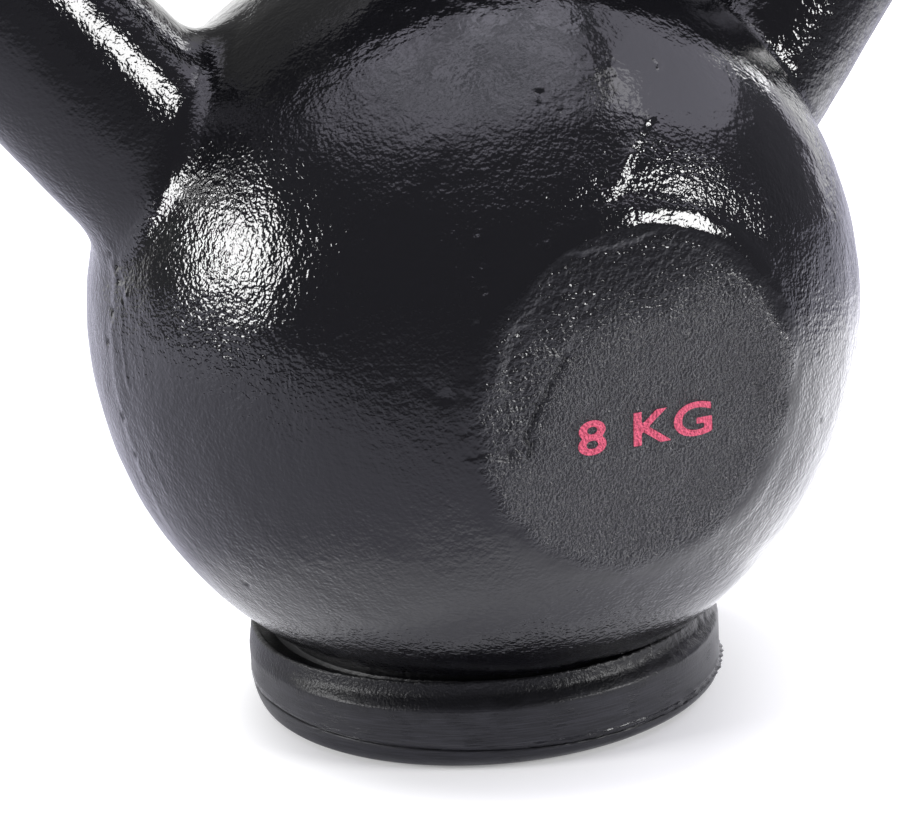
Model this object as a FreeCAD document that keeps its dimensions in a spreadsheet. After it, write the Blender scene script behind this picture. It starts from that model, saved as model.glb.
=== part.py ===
"""An 8 kg cast-iron kettlebell on a bonded rubber foot, in millimetres.

The origin is on the floor, under the ball's centre. X runs along the handle, -Y is the front, +Z is up.
On a bench it comes apart into three pieces: the casting, the rubber foot and the adhesive between them.
"""

import FreeCAD, Part
import math
import os
import Sketcher

from enum import IntEnum
from FreeCAD import Placement, Rotation, Vector

# The driving sizes, in millimetres and degrees: alias, value, meaning.
SIZES = [
    ("ball_diameter", "119.4", "diameter of the ball"),
    ("face_diameter", "48", "diameter of the flat round faces, one in front and one behind"),
    ("face_span", "108.8", "distance from the front face to the back face"),
    ("face_drop", "3.9", "how far the faces' centres lie below the ball's centre"),
    ("grip_diameter", "29.6", "diameter of the bar"),
    ("handle_width", "179", "width over the handle's two sides"),
    ("horn_spacing", "44.9", "distance between the horns' centrelines, at the ball's centre"),
    ("horn_lean", "40.3", "angle of each horn from the vertical"),
    ("horn_diameter", "33.6", "diameter of each horn at its inner end, level with the ball's centre"),
    ("horn_blend", "6", "radius of the hollow blend where a horn meets the ball"),
    ("flank_radius", "45", "bend of the centreline from a horn to the upright side"),
    ("side_length", "12", "length of each upright side"),
    ("corner_radius", "34", "bend of the centreline from an upright side to the bar"),
    ("pedestal_diameter", "65", "diameter of the round step under the ball"),
    ("foot_offset", "1.9", "how far the step and the foot lie off the ball's axis, towards -X"),
    ("foot_height", "14.4", "height of the foot's lip"),
    ("foot_diameter", "76.4", "diameter of the foot at its mould line"),
    ("mould_line_height", "4.3", "height of the mould line"),
    ("lip_diameter", "75.4", "outer diameter of the foot's wall at the lip"),
    ("lip_rounding", "1.1", "radius on the lip's outer edge"),
    ("seat_diameter", "73.2", "diameter of the circle where the lip meets the ball"),
    ("sole_diameter", "70.4", "diameter of the foot at the floor, before its edge is rounded"),
    ("sole_rounding", "1.4", "radius on the sole's edge"),
    ("sole_thickness", "5", "thickness of the rubber under the casting"),
    ("bond_thickness", "0.4", "thickness of the adhesive"),
    ("bond_rise", "0.7", "how far the adhesive stands out above the lip"),
]

# Radii and heights that several features share.
BALL_RADIUS = "Sizes.ball_diameter / 2"
GRIP_RADIUS = "Sizes.grip_diameter / 2"
SEAT_RADIUS = "Sizes.seat_diameter / 2"
BOND_RADIUS = "(Sizes.ball_diameter / 2 + Sizes.bond_thickness)"
BALL_HEIGHT = f"(Sizes.foot_height + sqrt({BOND_RADIUS} ^ 2 - ({SEAT_RADIUS}) ^ 2))"
BASE_HEIGHT = "(Sizes.sole_thickness + Sizes.bond_thickness)"
FACE_HEIGHT = f"({BALL_HEIGHT} - Sizes.face_drop)"
FACE_REACH = "Sizes.face_span / 2"
BOND_TOP = "(Sizes.foot_height + Sizes.bond_rise)"

# The handle's centreline in the XZ plane: a horn, a flank bend, an upright side, a corner and the bar.
SIDE_REACH = f"(Sizes.handle_width / 2 - {GRIP_RADIUS})"
FLANK_START = f"({SIDE_REACH} - Sizes.flank_radius * (1 - cos(Sizes.horn_lean)))"
HORN_LENGTH = f"(({FLANK_START} - Sizes.horn_spacing / 2) / sin(Sizes.horn_lean))"
HORN_TOP = f"({BALL_HEIGHT} + {HORN_LENGTH} * cos(Sizes.horn_lean))"
SIDE_BOTTOM = f"({HORN_TOP} + Sizes.flank_radius * sin(Sizes.horn_lean))"
SIDE_TOP = f"({SIDE_BOTTOM} + Sizes.side_length)"
BAR_HEIGHT = f"({SIDE_TOP} + Sizes.corner_radius)"
BAR_REACH = f"({SIDE_REACH} - Sizes.corner_radius)"

# How closely an edge must lie where it is looked for.
TOLERANCE = 0.01


class Spot(IntEnum):
    """Sketcher's numbers for the points of a line or an arc."""

    START = 1
    END = 2
    CENTRE = 3


class Datum(IntEnum):
    """Sketcher's numbers for a sketch's own origin and upright axis."""

    ORIGIN = -1
    UPRIGHT_AXIS = -2


def make_sheet(doc):
    """The spreadsheet, with one named cell for each driving size."""
    sheet = doc.addObject("Spreadsheet::Sheet", "Sizes")
    for row, (alias, value, meaning) in enumerate(SIZES, start=1):
        sheet.set(f"A{row}", value)
        sheet.setAlias(f"A{row}", alias)
        sheet.set(f"B{row}", meaning)
    doc.recompute()


def bind(feature, **bindings):
    """Tie properties of a feature to expressions on the sheet."""
    for name, expression in bindings.items():
        feature.setExpression(name.replace("__", "."), expression)


def make_body(doc, name):
    """An empty body whose label names the piece."""
    body = doc.addObject("PartDesign::Body", name)
    body.Label = name
    return body


def origin_feature(body, role):
    """One of the planes or axes of a body's own origin."""
    return next(item for item in body.Origin.OriginFeatures if item.Role == role)


def make_sketch(body, name, plane, lift=None):
    """An empty sketch on one of the body's planes, or lifted off it along the plane's normal."""
    sketch = body.newObject("Sketcher::SketchObject", name)
    sketch.AttachmentSupport = [(origin_feature(body, plane), "")]
    sketch.MapMode = "FlatFace"
    if lift:
        bind(sketch, AttachmentOffset__Base__z=lift)
    return sketch


def sketch_point(sketch, across, up):
    """The point of a sketch that two expressions stand for."""
    return Vector(sketch.evalExpression(across), sketch.evalExpression(up), 0)


def relate(sketch, kind, *places):
    """A geometric constraint, such as Coincident or Tangent."""
    sketch.addConstraint(Sketcher.Constraint(kind, *places))


def dimension(sketch, kind, places, name, expression):
    """A named dimension whose value follows the sheet."""
    value = float(sketch.evalExpression(expression))
    if kind == "Angle":
        value = math.radians(value)
    index = sketch.addConstraint(Sketcher.Constraint(kind, *places, value))
    sketch.renameConstraint(index, name)
    sketch.setExpression(f"Constraints.{name}", expression)


def locate(sketch, geometry, end, name, across, up):
    """Dimension one point of a sketch across and up from the sketch's origin."""
    dimension(sketch, "DistanceX", (Datum.ORIGIN, Spot.START, geometry, end), f"{name}_across", across)
    dimension(sketch, "DistanceY", (Datum.ORIGIN, Spot.START, geometry, end), f"{name}_up", up)


def add_arc(sketch, centre, radius, first, last):
    """An arc between two angles in degrees, anticlockwise."""
    circle = Part.Circle(centre, Vector(0, 0, 1), radius)
    arc = Part.ArcOfCircle(circle, math.radians(first), math.radians(last))
    return sketch.addGeometry(arc, False)


def draw_circle(sketch, diameter, across, up):
    """A circle dimensioned from the sketch's origin."""
    radius = float(sketch.evalExpression(diameter)) / 2
    circle = Part.Circle(sketch_point(sketch, across, up), Vector(0, 0, 1), radius)
    index = sketch.addGeometry(circle, False)
    dimension(sketch, "Diameter", (index,), "diameter", diameter)
    locate(sketch, index, Spot.CENTRE, "centre", across, up)


def draw_half_disc(sketch, diameter, up):
    """Half a disc beside the sketch's upright axis."""
    centre = sketch_point(sketch, "0", up)
    radius = float(sketch.evalExpression(diameter)) / 2
    arc = add_arc(sketch, centre, radius, -90, 90)
    line = sketch.addGeometry(
        Part.LineSegment(centre + Vector(0, radius, 0), centre - Vector(0, radius, 0)), False
    )
    relate(sketch, "Coincident", arc, Spot.END, line, Spot.START)
    relate(sketch, "Coincident", line, Spot.END, arc, Spot.START)
    relate(sketch, "PointOnObject", line, Spot.START, Datum.UPRIGHT_AXIS)
    relate(sketch, "PointOnObject", line, Spot.END, Datum.UPRIGHT_AXIS)
    relate(sketch, "PointOnObject", arc, Spot.CENTRE, Datum.UPRIGHT_AXIS)
    dimension(sketch, "Diameter", (arc,), "diameter", diameter)
    dimension(sketch, "DistanceY", (Datum.ORIGIN, Spot.START, arc, Spot.CENTRE), "centre_up", up)


def draw_outline(sketch, corners):
    """A closed outline of straight lines. Each corner is a name, a distance across and a distance up."""
    points = [sketch_point(sketch, across, up) for _, across, up in corners]
    lines = [
        sketch.addGeometry(Part.LineSegment(start, end), False)
        for start, end in zip(points, points[1:] + points[:1])
    ]
    for line, following, (name, across, up) in zip(lines, lines[1:] + lines[:1], corners):
        relate(sketch, "Coincident", line, Spot.END, following, Spot.START)
        locate(sketch, line, Spot.START, name, across, up)


def draw_handle_path(sketch):
    """The centreline of one side of the handle, from inside the ball to the middle of the bar."""
    lean = float(sketch.evalExpression("Sizes.horn_lean"))
    flank_radius = float(sketch.evalExpression("Sizes.flank_radius"))
    corner_radius = float(sketch.evalExpression("Sizes.corner_radius"))
    root = sketch_point(sketch, "Sizes.horn_spacing / 2", BALL_HEIGHT)
    horn_end = sketch_point(sketch, FLANK_START, HORN_TOP)
    side_bottom = sketch_point(sketch, SIDE_REACH, SIDE_BOTTOM)
    side_top = sketch_point(sketch, SIDE_REACH, SIDE_TOP)
    bar_end = sketch_point(sketch, BAR_REACH, BAR_HEIGHT)
    bar_middle = sketch_point(sketch, "0", BAR_HEIGHT)

    horn = sketch.addGeometry(Part.LineSegment(root, horn_end), False)
    flank_centre = side_bottom - Vector(flank_radius, 0, 0)
    flank = add_arc(sketch, flank_centre, flank_radius, -lean, 0)
    side = sketch.addGeometry(Part.LineSegment(side_bottom, side_top), False)
    corner_centre = side_top - Vector(corner_radius, 0, 0)
    corner = add_arc(sketch, corner_centre, corner_radius, 0, 90)
    bar = sketch.addGeometry(Part.LineSegment(bar_end, bar_middle), False)

    for first, second in ((horn, flank), (flank, side), (side, corner), (corner, bar)):
        relate(sketch, "Tangent", first, Spot.END, second, Spot.START)
    relate(sketch, "Vertical", side)
    relate(sketch, "Horizontal", bar)
    relate(sketch, "PointOnObject", bar, Spot.END, Datum.UPRIGHT_AXIS)
    locate(sketch, horn, Spot.START, "root", "Sizes.horn_spacing / 2", BALL_HEIGHT)
    dimension(sketch, "Angle", (horn,), "lean", "90 - Sizes.horn_lean")
    dimension(sketch, "Radius", (flank,), "flank", "Sizes.flank_radius")
    dimension(sketch, "DistanceY", (side, Spot.START, side, Spot.END), "side", "Sizes.side_length")
    dimension(sketch, "Radius", (corner,), "corner", "Sizes.corner_radius")
    dimension(sketch, "DistanceX", (Datum.ORIGIN, Spot.START, side, Spot.START), "reach", SIDE_REACH)


def revolve(body, name, sketch):
    """Turn a sketch about the body's upright axis."""
    turned = body.newObject("PartDesign::Revolution", name)
    turned.Profile = sketch
    turned.ReferenceAxis = (origin_feature(body, "Z_Axis"), [""])
    turned.Angle = 360
    return turned


def pad(body, name, sketch, length, midplane=False):
    """Extrude a sketch along its normal, or equally to both sides."""
    extruded = body.newObject("PartDesign::Pad", name)
    extruded.Profile = sketch
    extruded.Midplane = midplane
    bind(extruded, Length=length)
    return extruded


def pocket(body, name, sketch, length, along_normal=False):
    """Cut a sketch's area away against its normal, or along it."""
    cut = body.newObject("PartDesign::Pocket", name)
    cut.Profile = sketch
    cut.Reversed = along_normal
    bind(cut, Length=length)
    return cut


def add_ball(body):
    """The ball, with its round step cut off flat under it."""
    outline = make_sketch(body, "ball_outline", "XZ_Plane")
    draw_half_disc(outline, "Sizes.ball_diameter", BALL_HEIGHT)
    revolve(body, "ball", outline)

    step = make_sketch(body, "pedestal_outline", "XY_Plane", BASE_HEIGHT)
    draw_circle(step, "Sizes.pedestal_diameter", "-Sizes.foot_offset", "0")
    pad(body, "pedestal", step, f"{BALL_HEIGHT} - {BASE_HEIGHT}")

    base = make_sketch(body, "base_outline", "XY_Plane", BASE_HEIGHT)
    draw_circle(base, "Sizes.ball_diameter", "0", "0")
    pocket(body, "base_flat", base, "Sizes.ball_diameter")


def add_faces(body):
    """The two round faces. Each stands out of the ball at its lower edge and is sunk at its upper edge."""
    discs = make_sketch(body, "faces_outline", "XZ_Plane")
    draw_circle(discs, "Sizes.face_diameter", "0", FACE_HEIGHT)
    pad(body, "faces", discs, "Sizes.face_span", midplane=True)

    # The XZ plane's normal points to -Y, the front.
    for name, lift, outward in (("front", FACE_REACH, True), ("back", f"-{FACE_REACH}", False)):
        sunk = make_sketch(body, f"{name}_sink_outline", "XZ_Plane", lift)
        draw_circle(sunk, "Sizes.face_diameter", "0", FACE_HEIGHT)
        pocket(body, f"{name}_sink", sunk, BALL_RADIUS, along_normal=outward)


def add_horn(body):
    """One tapered horn, from the level of the ball's centre to the flank bend."""
    horn = body.newObject("PartDesign::AdditiveCone", "horn")
    horn.AttachmentSupport = [(origin_feature(body, "XY_Plane"), "")]
    horn.MapMode = "FlatFace"
    horn.AttachmentOffset = Placement(Vector(), Rotation(Vector(0, 1, 0), 45))
    bind(
        horn,
        Radius1="Sizes.horn_diameter / 2",
        Radius2=GRIP_RADIUS,
        Height=HORN_LENGTH,
        AttachmentOffset__Base__x="Sizes.horn_spacing / 2",
        AttachmentOffset__Base__z=BALL_HEIGHT,
        AttachmentOffset__Rotation__Angle="Sizes.horn_lean",
    )
    return horn


def add_half_handle(body):
    """One side of the handle, swept along its centreline to the middle of the bar."""
    path = make_sketch(body, "handle_path", "XZ_Plane")
    draw_handle_path(path)
    section = make_sketch(body, "bar_section", "YZ_Plane")
    draw_circle(section, "Sizes.grip_diameter", "0", BAR_HEIGHT)
    sweep = body.newObject("PartDesign::AdditivePipe", "half_handle")
    sweep.Profile = section
    sweep.Spine = (path, [])
    return sweep


def mirror_handle(body, features):
    """The other side of the handle."""
    mirrored = body.newObject("PartDesign::Mirrored", "other_side")
    mirrored.Originals = features
    mirrored.MirrorPlane = (origin_feature(body, "YZ_Plane"), [""])
    body.Tip = mirrored
    return mirrored


def blend_horns(body, handle):
    """The hollow blends round both horns, where they leave the ball."""
    body.Document.recompute()
    radius = float(handle.evalExpression(BALL_RADIUS))
    centre = Vector(0, 0, handle.evalExpression(BALL_HEIGHT))
    beside_faces = float(handle.evalExpression("Sizes.horn_spacing / 2"))

    def meets_a_horn(edge):
        middle = edge.valueAt((edge.FirstParameter + edge.LastParameter) / 2)
        on_ball = abs(middle.distanceToPoint(centre) - radius) < TOLERANCE
        return on_ball and middle.z > centre.z and abs(middle.x) > beside_faces

    seams = [
        f"Edge{number}" for number, edge in enumerate(handle.Shape.Edges, 1) if meets_a_horn(edge)
    ]
    blend = body.newObject("PartDesign::Fillet", "horn_blends")
    blend.Base = (handle, seams)
    bind(blend, Radius="Sizes.horn_blend")


def make_casting(doc):
    """The iron casting: ball, step, faces and handle in one piece."""
    body = make_body(doc, "iron_casting")
    add_ball(body)
    add_faces(body)
    horn = add_horn(body)
    half_handle = add_half_handle(body)
    handle = mirror_handle(body, [horn, half_handle])
    blend_horns(body, handle)
    return body


def make_seat(doc, name, clearance, bottom):
    """What lies inside the foot of a casting grown by a clearance, up to the top of the adhesive."""
    ball = doc.addObject("Part::Sphere", f"{name}_ball")
    bind(ball, Radius=f"{BALL_RADIUS} + {clearance}", Placement__Base__z=BALL_HEIGHT)
    step = doc.addObject("Part::Cylinder", f"{name}_step")
    bind(
        step,
        Radius=f"Sizes.pedestal_diameter / 2 + {clearance}",
        Height=BALL_HEIGHT,
        Placement__Base__x="-Sizes.foot_offset",
    )
    whole = doc.addObject("Part::Fuse", f"{name}_whole")
    whole.Base = ball
    whole.Tool = step
    slice_between = doc.addObject("Part::Cylinder", f"{name}_slice")
    bind(
        slice_between,
        Radius="Sizes.lip_diameter / 2",
        Height=f"{BOND_TOP} - {bottom}",
        Placement__Base__x="-Sizes.foot_offset",
        Placement__Base__z=bottom,
    )
    seat = doc.addObject("Part::Common", name)
    seat.Base = whole
    seat.Tool = slice_between
    return seat


def round_rim(body, base, name, height, radius):
    """Round the outer edge of a turned solid at one height."""
    body.Document.recompute()
    level = float(base.evalExpression(height))
    rims = [
        (edge.Length, f"Edge{number}")
        for number, edge in enumerate(base.Shape.Edges, 1)
        if all(abs(vertex.Z - level) < TOLERANCE for vertex in edge.Vertexes)
    ]
    rounding = body.newObject("PartDesign::Fillet", name)
    rounding.Base = (base, [max(rims)[1]])
    bind(rounding, Radius=radius)
    return rounding


def make_foot(doc, cavity):
    """The moulded rubber foot, hollowed to take the casting and its adhesive."""
    body = make_body(doc, "foot_blank")
    bind(body, Placement__Base__x="-Sizes.foot_offset")
    outline = make_sketch(body, "foot_outline", "XZ_Plane")
    draw_outline(
        outline,
        [
            ("middle", "0", "0"),
            ("sole", "Sizes.sole_diameter / 2", "0"),
            ("mould_line", "Sizes.foot_diameter / 2", "Sizes.mould_line_height"),
            ("lip", "Sizes.lip_diameter / 2", "Sizes.foot_height"),
            ("top", "0", "Sizes.foot_height"),
        ],
    )
    blank = revolve(body, "blank", outline)
    soled = round_rim(body, blank, "sole_edge", "0", "Sizes.sole_rounding")
    round_rim(body, soled, "lip_edge", "Sizes.foot_height", "Sizes.lip_rounding")
    foot = doc.addObject("Part::Cut", "rubber_foot")
    foot.Label = "rubber_foot"
    foot.Base = body
    foot.Tool = cavity
    return foot


def make_bond(doc, cavity):
    """The adhesive: what the casting leaves free in the foot's cavity, and a bead above the lip."""
    bond = doc.addObject("Part::Cut", "adhesive_bond")
    bond.Label = "adhesive_bond"
    bond.Base = cavity
    bond.Tool = make_seat(doc, "core", "0", BASE_HEIGHT)
    return bond


def check(doc, pieces):
    """Stop if any feature failed or any piece isn't one valid solid."""
    for item in doc.Objects:
        if {"Invalid", "Error"} & set(item.State):
            raise RuntimeError(f"{item.Name} failed: {item.State}")
    for piece in pieces:
        shape = piece.Shape
        if shape.isNull() or not shape.isValid() or len(shape.Solids) != 1:
            raise RuntimeError(f"{piece.Label} isn't one valid solid")


def main():
    """Build the document and write each piece to its own file."""
    doc = FreeCAD.newDocument("kettlebell")
    make_sheet(doc)
    casting = make_casting(doc)
    cavity = make_seat(doc, "cavity", "Sizes.bond_thickness", "Sizes.sole_thickness")
    foot = make_foot(doc, cavity)
    bond = make_bond(doc, cavity)
    doc.recompute()
    pieces = [casting, foot, bond]
    check(doc, pieces)
    os.makedirs("parts", exist_ok=True)
    for piece in pieces:
        piece.Shape.exportStep(f"parts/{piece.Label}.step")


main()
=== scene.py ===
"""Looks of a small cast-iron kettlebell: enamelled sand casting, rubber foot, glue and a printed weight.

Everything is in metres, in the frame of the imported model: X along the handle, -Y the front, Z up, with the
origin on the floor under the ball. The casting's smooth form is written once, as distances to its surface,
and every piece that lies on the casting is fitted to that form.
"""

import logging
import math
from dataclasses import dataclass
from enum import Enum
from typing import Optional, Sequence, Union

import bpy
import numpy as np
from mathutils import Matrix, Vector, noise
from mathutils.bvhtree import BVHTree

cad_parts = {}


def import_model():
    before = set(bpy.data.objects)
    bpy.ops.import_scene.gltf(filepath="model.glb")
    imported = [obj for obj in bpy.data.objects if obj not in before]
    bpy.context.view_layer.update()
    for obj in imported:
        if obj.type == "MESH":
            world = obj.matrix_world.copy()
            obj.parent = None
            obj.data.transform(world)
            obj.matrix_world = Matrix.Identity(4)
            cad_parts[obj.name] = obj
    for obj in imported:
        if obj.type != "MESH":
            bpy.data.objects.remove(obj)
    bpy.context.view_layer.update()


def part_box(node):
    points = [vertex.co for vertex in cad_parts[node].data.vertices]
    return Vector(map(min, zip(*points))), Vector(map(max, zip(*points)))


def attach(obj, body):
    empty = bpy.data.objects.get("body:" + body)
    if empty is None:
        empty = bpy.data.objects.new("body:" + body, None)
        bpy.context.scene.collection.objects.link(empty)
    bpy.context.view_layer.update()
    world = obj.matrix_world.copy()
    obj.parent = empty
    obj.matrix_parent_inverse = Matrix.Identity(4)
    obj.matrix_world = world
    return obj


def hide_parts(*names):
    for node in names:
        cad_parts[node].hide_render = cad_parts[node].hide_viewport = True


LOG = logging.getLogger("kettlebell")
MM = 0.001

# The ball's size and the height of its centre.
BALL_RADIUS = 59.7 * MM
BALL_HEIGHT = 62.07 * MM
# Typical distance between one bump and the next in Blender's noise at scale 1.
NOISE_WAVELENGTH = 1.7

# Where something sets in, and where it is complete.
Span = tuple[float, float]
Outline = list[tuple[float, float]]
Colour = tuple[float, float, float, float]


class Slot(Enum):
    """The record's material slots."""

    IRON = "enamelled_iron"
    RUBBER = "black_rubber"
    ADHESIVE = "adhesive"


# ---------------------------------------------------------------------------------------------------------
# Small helpers for Blender's operators and for meshes as arrays
# ---------------------------------------------------------------------------------------------------------


def deselect_all() -> None:
    """Leave object mode's selection empty."""
    bpy.ops.object.select_all(action="DESELECT")


def make_active(piece: bpy.types.Object) -> None:
    """Select one object alone and make it the active one.

    Args:
        piece: The object.
    """
    deselect_all()
    piece.select_set(True)
    bpy.context.view_layer.objects.active = piece


def apply_modifier(piece: bpy.types.Object, kind: str, **settings: object) -> None:
    """Add a modifier to a piece and apply it.

    Args:
        piece: The object to change.
        kind: Blender's name of the modifier type.
        settings: The modifier's own properties.
    """
    make_active(piece)
    modifier = piece.modifiers.new(kind.lower(), kind)
    for name, value in settings.items():
        setattr(modifier, name, value)
    bpy.ops.object.modifier_apply(modifier=modifier.name)


def apply_place(piece: bpy.types.Object) -> None:
    """Move a piece's place, turn and scale into its mesh."""
    make_active(piece)
    bpy.ops.object.transform_apply(location=True, rotation=True, scale=True)


def name_piece(piece: bpy.types.Object, name: str) -> bpy.types.Object:
    """Give a piece and its data the same name.

    Args:
        piece: The object to name.
        name: Its new name.

    Returns:
        The same object.
    """
    piece.name = name
    piece.data.name = name
    return piece


def join(pieces: Sequence[bpy.types.Object], name: str) -> bpy.types.Object:
    """Join several meshes into the first one and name it.

    Args:
        pieces: The objects to join.
        name: The name of the result.

    Returns:
        The joined object.
    """
    deselect_all()
    for piece in pieces:
        piece.select_set(True)
    bpy.context.view_layer.objects.active = pieces[0]
    bpy.ops.object.join()
    return name_piece(bpy.context.object, name)


def read_points(piece: bpy.types.Object) -> np.ndarray:
    """Read the places of a mesh's vertices.

    Args:
        piece: The mesh object.

    Returns:
        The places, one row each.
    """
    flat = np.empty(len(piece.data.vertices) * 3, dtype=np.float32)
    piece.data.vertices.foreach_get("co", flat)
    return flat.reshape(-1, 3).astype(np.float64)


def write_points(piece: bpy.types.Object, points: np.ndarray) -> None:
    """Move a mesh's vertices to new places, one row each."""
    piece.data.vertices.foreach_set("co", points.astype(np.float32).ravel())
    piece.data.update()


def select_faces(piece: bpy.types.Object, chosen: np.ndarray) -> None:
    """Select the faces of a mesh whose vertices are all chosen.

    Args:
        piece: The mesh object.
        chosen: True for each chosen vertex.
    """
    mesh = piece.data
    corners = np.empty(len(mesh.loops), dtype=np.int32)
    mesh.loops.foreach_get("vertex_index", corners)
    starts = np.empty(len(mesh.polygons), dtype=np.int32)
    mesh.polygons.foreach_get("loop_start", starts)
    whole = np.minimum.reduceat(chosen[corners].astype(np.int8), starts) > 0
    mesh.vertices.foreach_set("select", np.zeros(len(mesh.vertices), dtype=bool))
    mesh.edges.foreach_set("select", np.zeros(len(mesh.edges), dtype=bool))
    mesh.polygons.foreach_set("select", whole)
    mesh.update()


def refine(piece: bpy.types.Object, chosen: np.ndarray, cuts: int) -> None:
    """Divide the faces whose vertices are all chosen.

    Args:
        piece: The mesh to change.
        chosen: True for each vertex of the part to divide.
        cuts: Number of cuts along each edge.
    """
    make_active(piece)
    select_faces(piece, chosen)
    bpy.ops.object.mode_set(mode="EDIT")
    bpy.ops.mesh.select_mode(type="FACE")
    bpy.ops.mesh.subdivide(number_cuts=cuts)
    bpy.ops.object.mode_set(mode="OBJECT")


def turned(section: Outline, axis: Vector, turns: int, name: str) -> bpy.types.Object:
    """Draw half a section point by point and spin it round an upright axis.

    Args:
        section: Distances from the axis and heights, from the axis round to the axis again.
        axis: A point on the axis, on the floor.
        turns: Number of steps in the full turn.
        name: The name of the piece.

    Returns:
        The closed piece.
    """
    deselect_all()
    bpy.ops.mesh.primitive_plane_add(size=MM, location=axis)
    piece = bpy.context.object
    apply_place(piece)
    make_active(piece)
    bpy.ops.object.mode_set(mode="EDIT")
    bpy.ops.mesh.select_mode(type="VERT")
    bpy.ops.mesh.select_all(action="SELECT")
    bpy.ops.mesh.merge(type="CENTER")
    bpy.ops.transform.translate(value=(section[0][0], 0.0, section[0][1]))
    for (out, up), (next_out, next_up) in zip(section[:-1], section[1:]):
        bpy.ops.mesh.extrude_region_move(TRANSFORM_OT_translate={"value": (next_out - out, 0.0, next_up - up)})
    bpy.ops.mesh.select_all(action="SELECT")
    bpy.ops.mesh.spin(steps=turns, angle=2 * math.pi, center=axis, axis=(0.0, 0.0, 1.0))
    bpy.ops.mesh.select_all(action="SELECT")
    bpy.ops.mesh.remove_doubles(threshold=0.005 * MM)
    bpy.ops.mesh.normals_make_consistent(inside=False)
    bpy.ops.object.mode_set(mode="OBJECT")
    return name_piece(piece, name)


def finish(piece: bpy.types.Object, material: bpy.types.Material) -> None:
    """Shade a piece smooth and give it its only material.

    Args:
        piece: The mesh object.
        material: The material to wear.
    """
    make_active(piece)
    bpy.ops.object.shade_smooth()
    piece.data.materials.clear()
    piece.data.materials.append(material)


def ramp(values: np.ndarray, start: float, end: float) -> np.ndarray:
    """Rise smoothly from 0 at start to 1 at end."""
    share = np.clip((values - start) / (end - start), 0.0, 1.0)
    return share * share * (3.0 - 2.0 * share)


def hump(values: np.ndarray, middle: float, width: float) -> np.ndarray:
    """Rise to 1 at the middle, and fall to nearly 0 at twice the width to each side."""
    return np.exp(-(((values - middle) / width) ** 2))


def noise_at(points: np.ndarray, wavelength: float, shift: float = 0.0) -> np.ndarray:
    """Smooth noise of one wavelength, between about -1 and 1.

    Args:
        points: Places, one row each.
        wavelength: Typical distance between one bump and the next.
        shift: Moves the pattern, so that two layers differ.

    Returns:
        One number for each point.
    """
    scaled = points * (NOISE_WAVELENGTH / wavelength) + shift
    return np.array([noise.noise(row) for row in scaled.tolist()])


# ---------------------------------------------------------------------------------------------------------
# The casting's form
# ---------------------------------------------------------------------------------------------------------


@dataclass(frozen=True)
class HandleForm:
    """The handle's centreline in the XZ plane, and its thickness.

    Each side is a tapered horn that leans out of the ball, a bend to an upright side and a corner to the bar.
    """

    ball_height: float
    side_reach: float
    bar_height: float
    horn_spacing: float = 44.9 * MM
    horn_lean: float = math.radians(40.3)
    horn_radius: float = 16.8 * MM
    grip_radius: float = 14.8 * MM
    flank_radius: float = 45.0 * MM
    corner_radius: float = 34.0 * MM
    side_length: float = 12.0 * MM

    @property
    def side_top(self) -> float:
        """Height at which an upright side turns into its corner."""
        return self.bar_height - self.corner_radius

    @property
    def side_bottom(self) -> float:
        """Height at which the flank bend turns upright."""
        return self.side_top - self.side_length

    @property
    def horn_start(self) -> np.ndarray:
        """Inner end of a horn's centreline, level with the ball's centre: distance out, and height."""
        return np.array([self.horn_spacing / 2, self.ball_height])

    @property
    def horn_end(self) -> np.ndarray:
        """Outer end of a horn's straight stretch.

        Returns:
            Its distance out, and its height.
        """
        out = self.side_reach - self.flank_radius * (1 - math.cos(self.horn_lean))
        up = self.side_bottom - self.flank_radius * math.sin(self.horn_lean)
        return np.array([out, up])

    def distance(self, points: np.ndarray) -> np.ndarray:
        """Measure how far points lie from the handle's surface.

        Args:
            points: Places, one row each.

        Returns:
            Distances, negative inside the handle.
        """
        out = np.abs(points[:, 0])
        depth = points[:, 1]
        up = points[:, 2]
        nearest = self._horn_distance(np.stack([out, up], axis=1), depth)
        flank_out = self.side_reach - self.flank_radius
        corner_out = self.side_reach - self.corner_radius
        for centre_out, centre_up, bend, first, last in (
            (flank_out, self.side_bottom, self.flank_radius, -self.horn_lean, 0.0),
            (corner_out, self.side_top, self.corner_radius, 0.0, math.pi / 2),
        ):
            turn = np.arctan2(up - centre_up, out - centre_out)
            ring = np.hypot(out - centre_out, up - centre_up) - bend
            tube = np.hypot(ring, depth) - self.grip_radius
            nearest = np.where((turn >= first) & (turn <= last), np.minimum(nearest, tube), nearest)
        side = np.hypot(out - self.side_reach, up - np.clip(up, self.side_bottom, self.side_top))
        nearest = np.minimum(nearest, np.hypot(side, depth) - self.grip_radius)
        bar = np.hypot(out - np.clip(out, 0.0, corner_out), up - self.bar_height)
        return np.minimum(nearest, np.hypot(bar, depth) - self.grip_radius)

    def _horn_distance(self, flat: np.ndarray, depth: np.ndarray) -> np.ndarray:
        """Measure how far points lie from the tapered horn's surface.

        Args:
            flat: Distances out and heights, one row for each point.
            depth: Places along Y.

        Returns:
            Distances, negative inside the horn.
        """
        stretch = self.horn_end - self.horn_start
        share = np.clip((flat - self.horn_start) @ stretch / (stretch @ stretch), 0.0, 1.0)
        off = np.linalg.norm(flat - (self.horn_start + share[:, None] * stretch), axis=1)
        radius = self.horn_radius + (self.grip_radius - self.horn_radius) * share
        return np.hypot(off, depth) - radius


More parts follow.
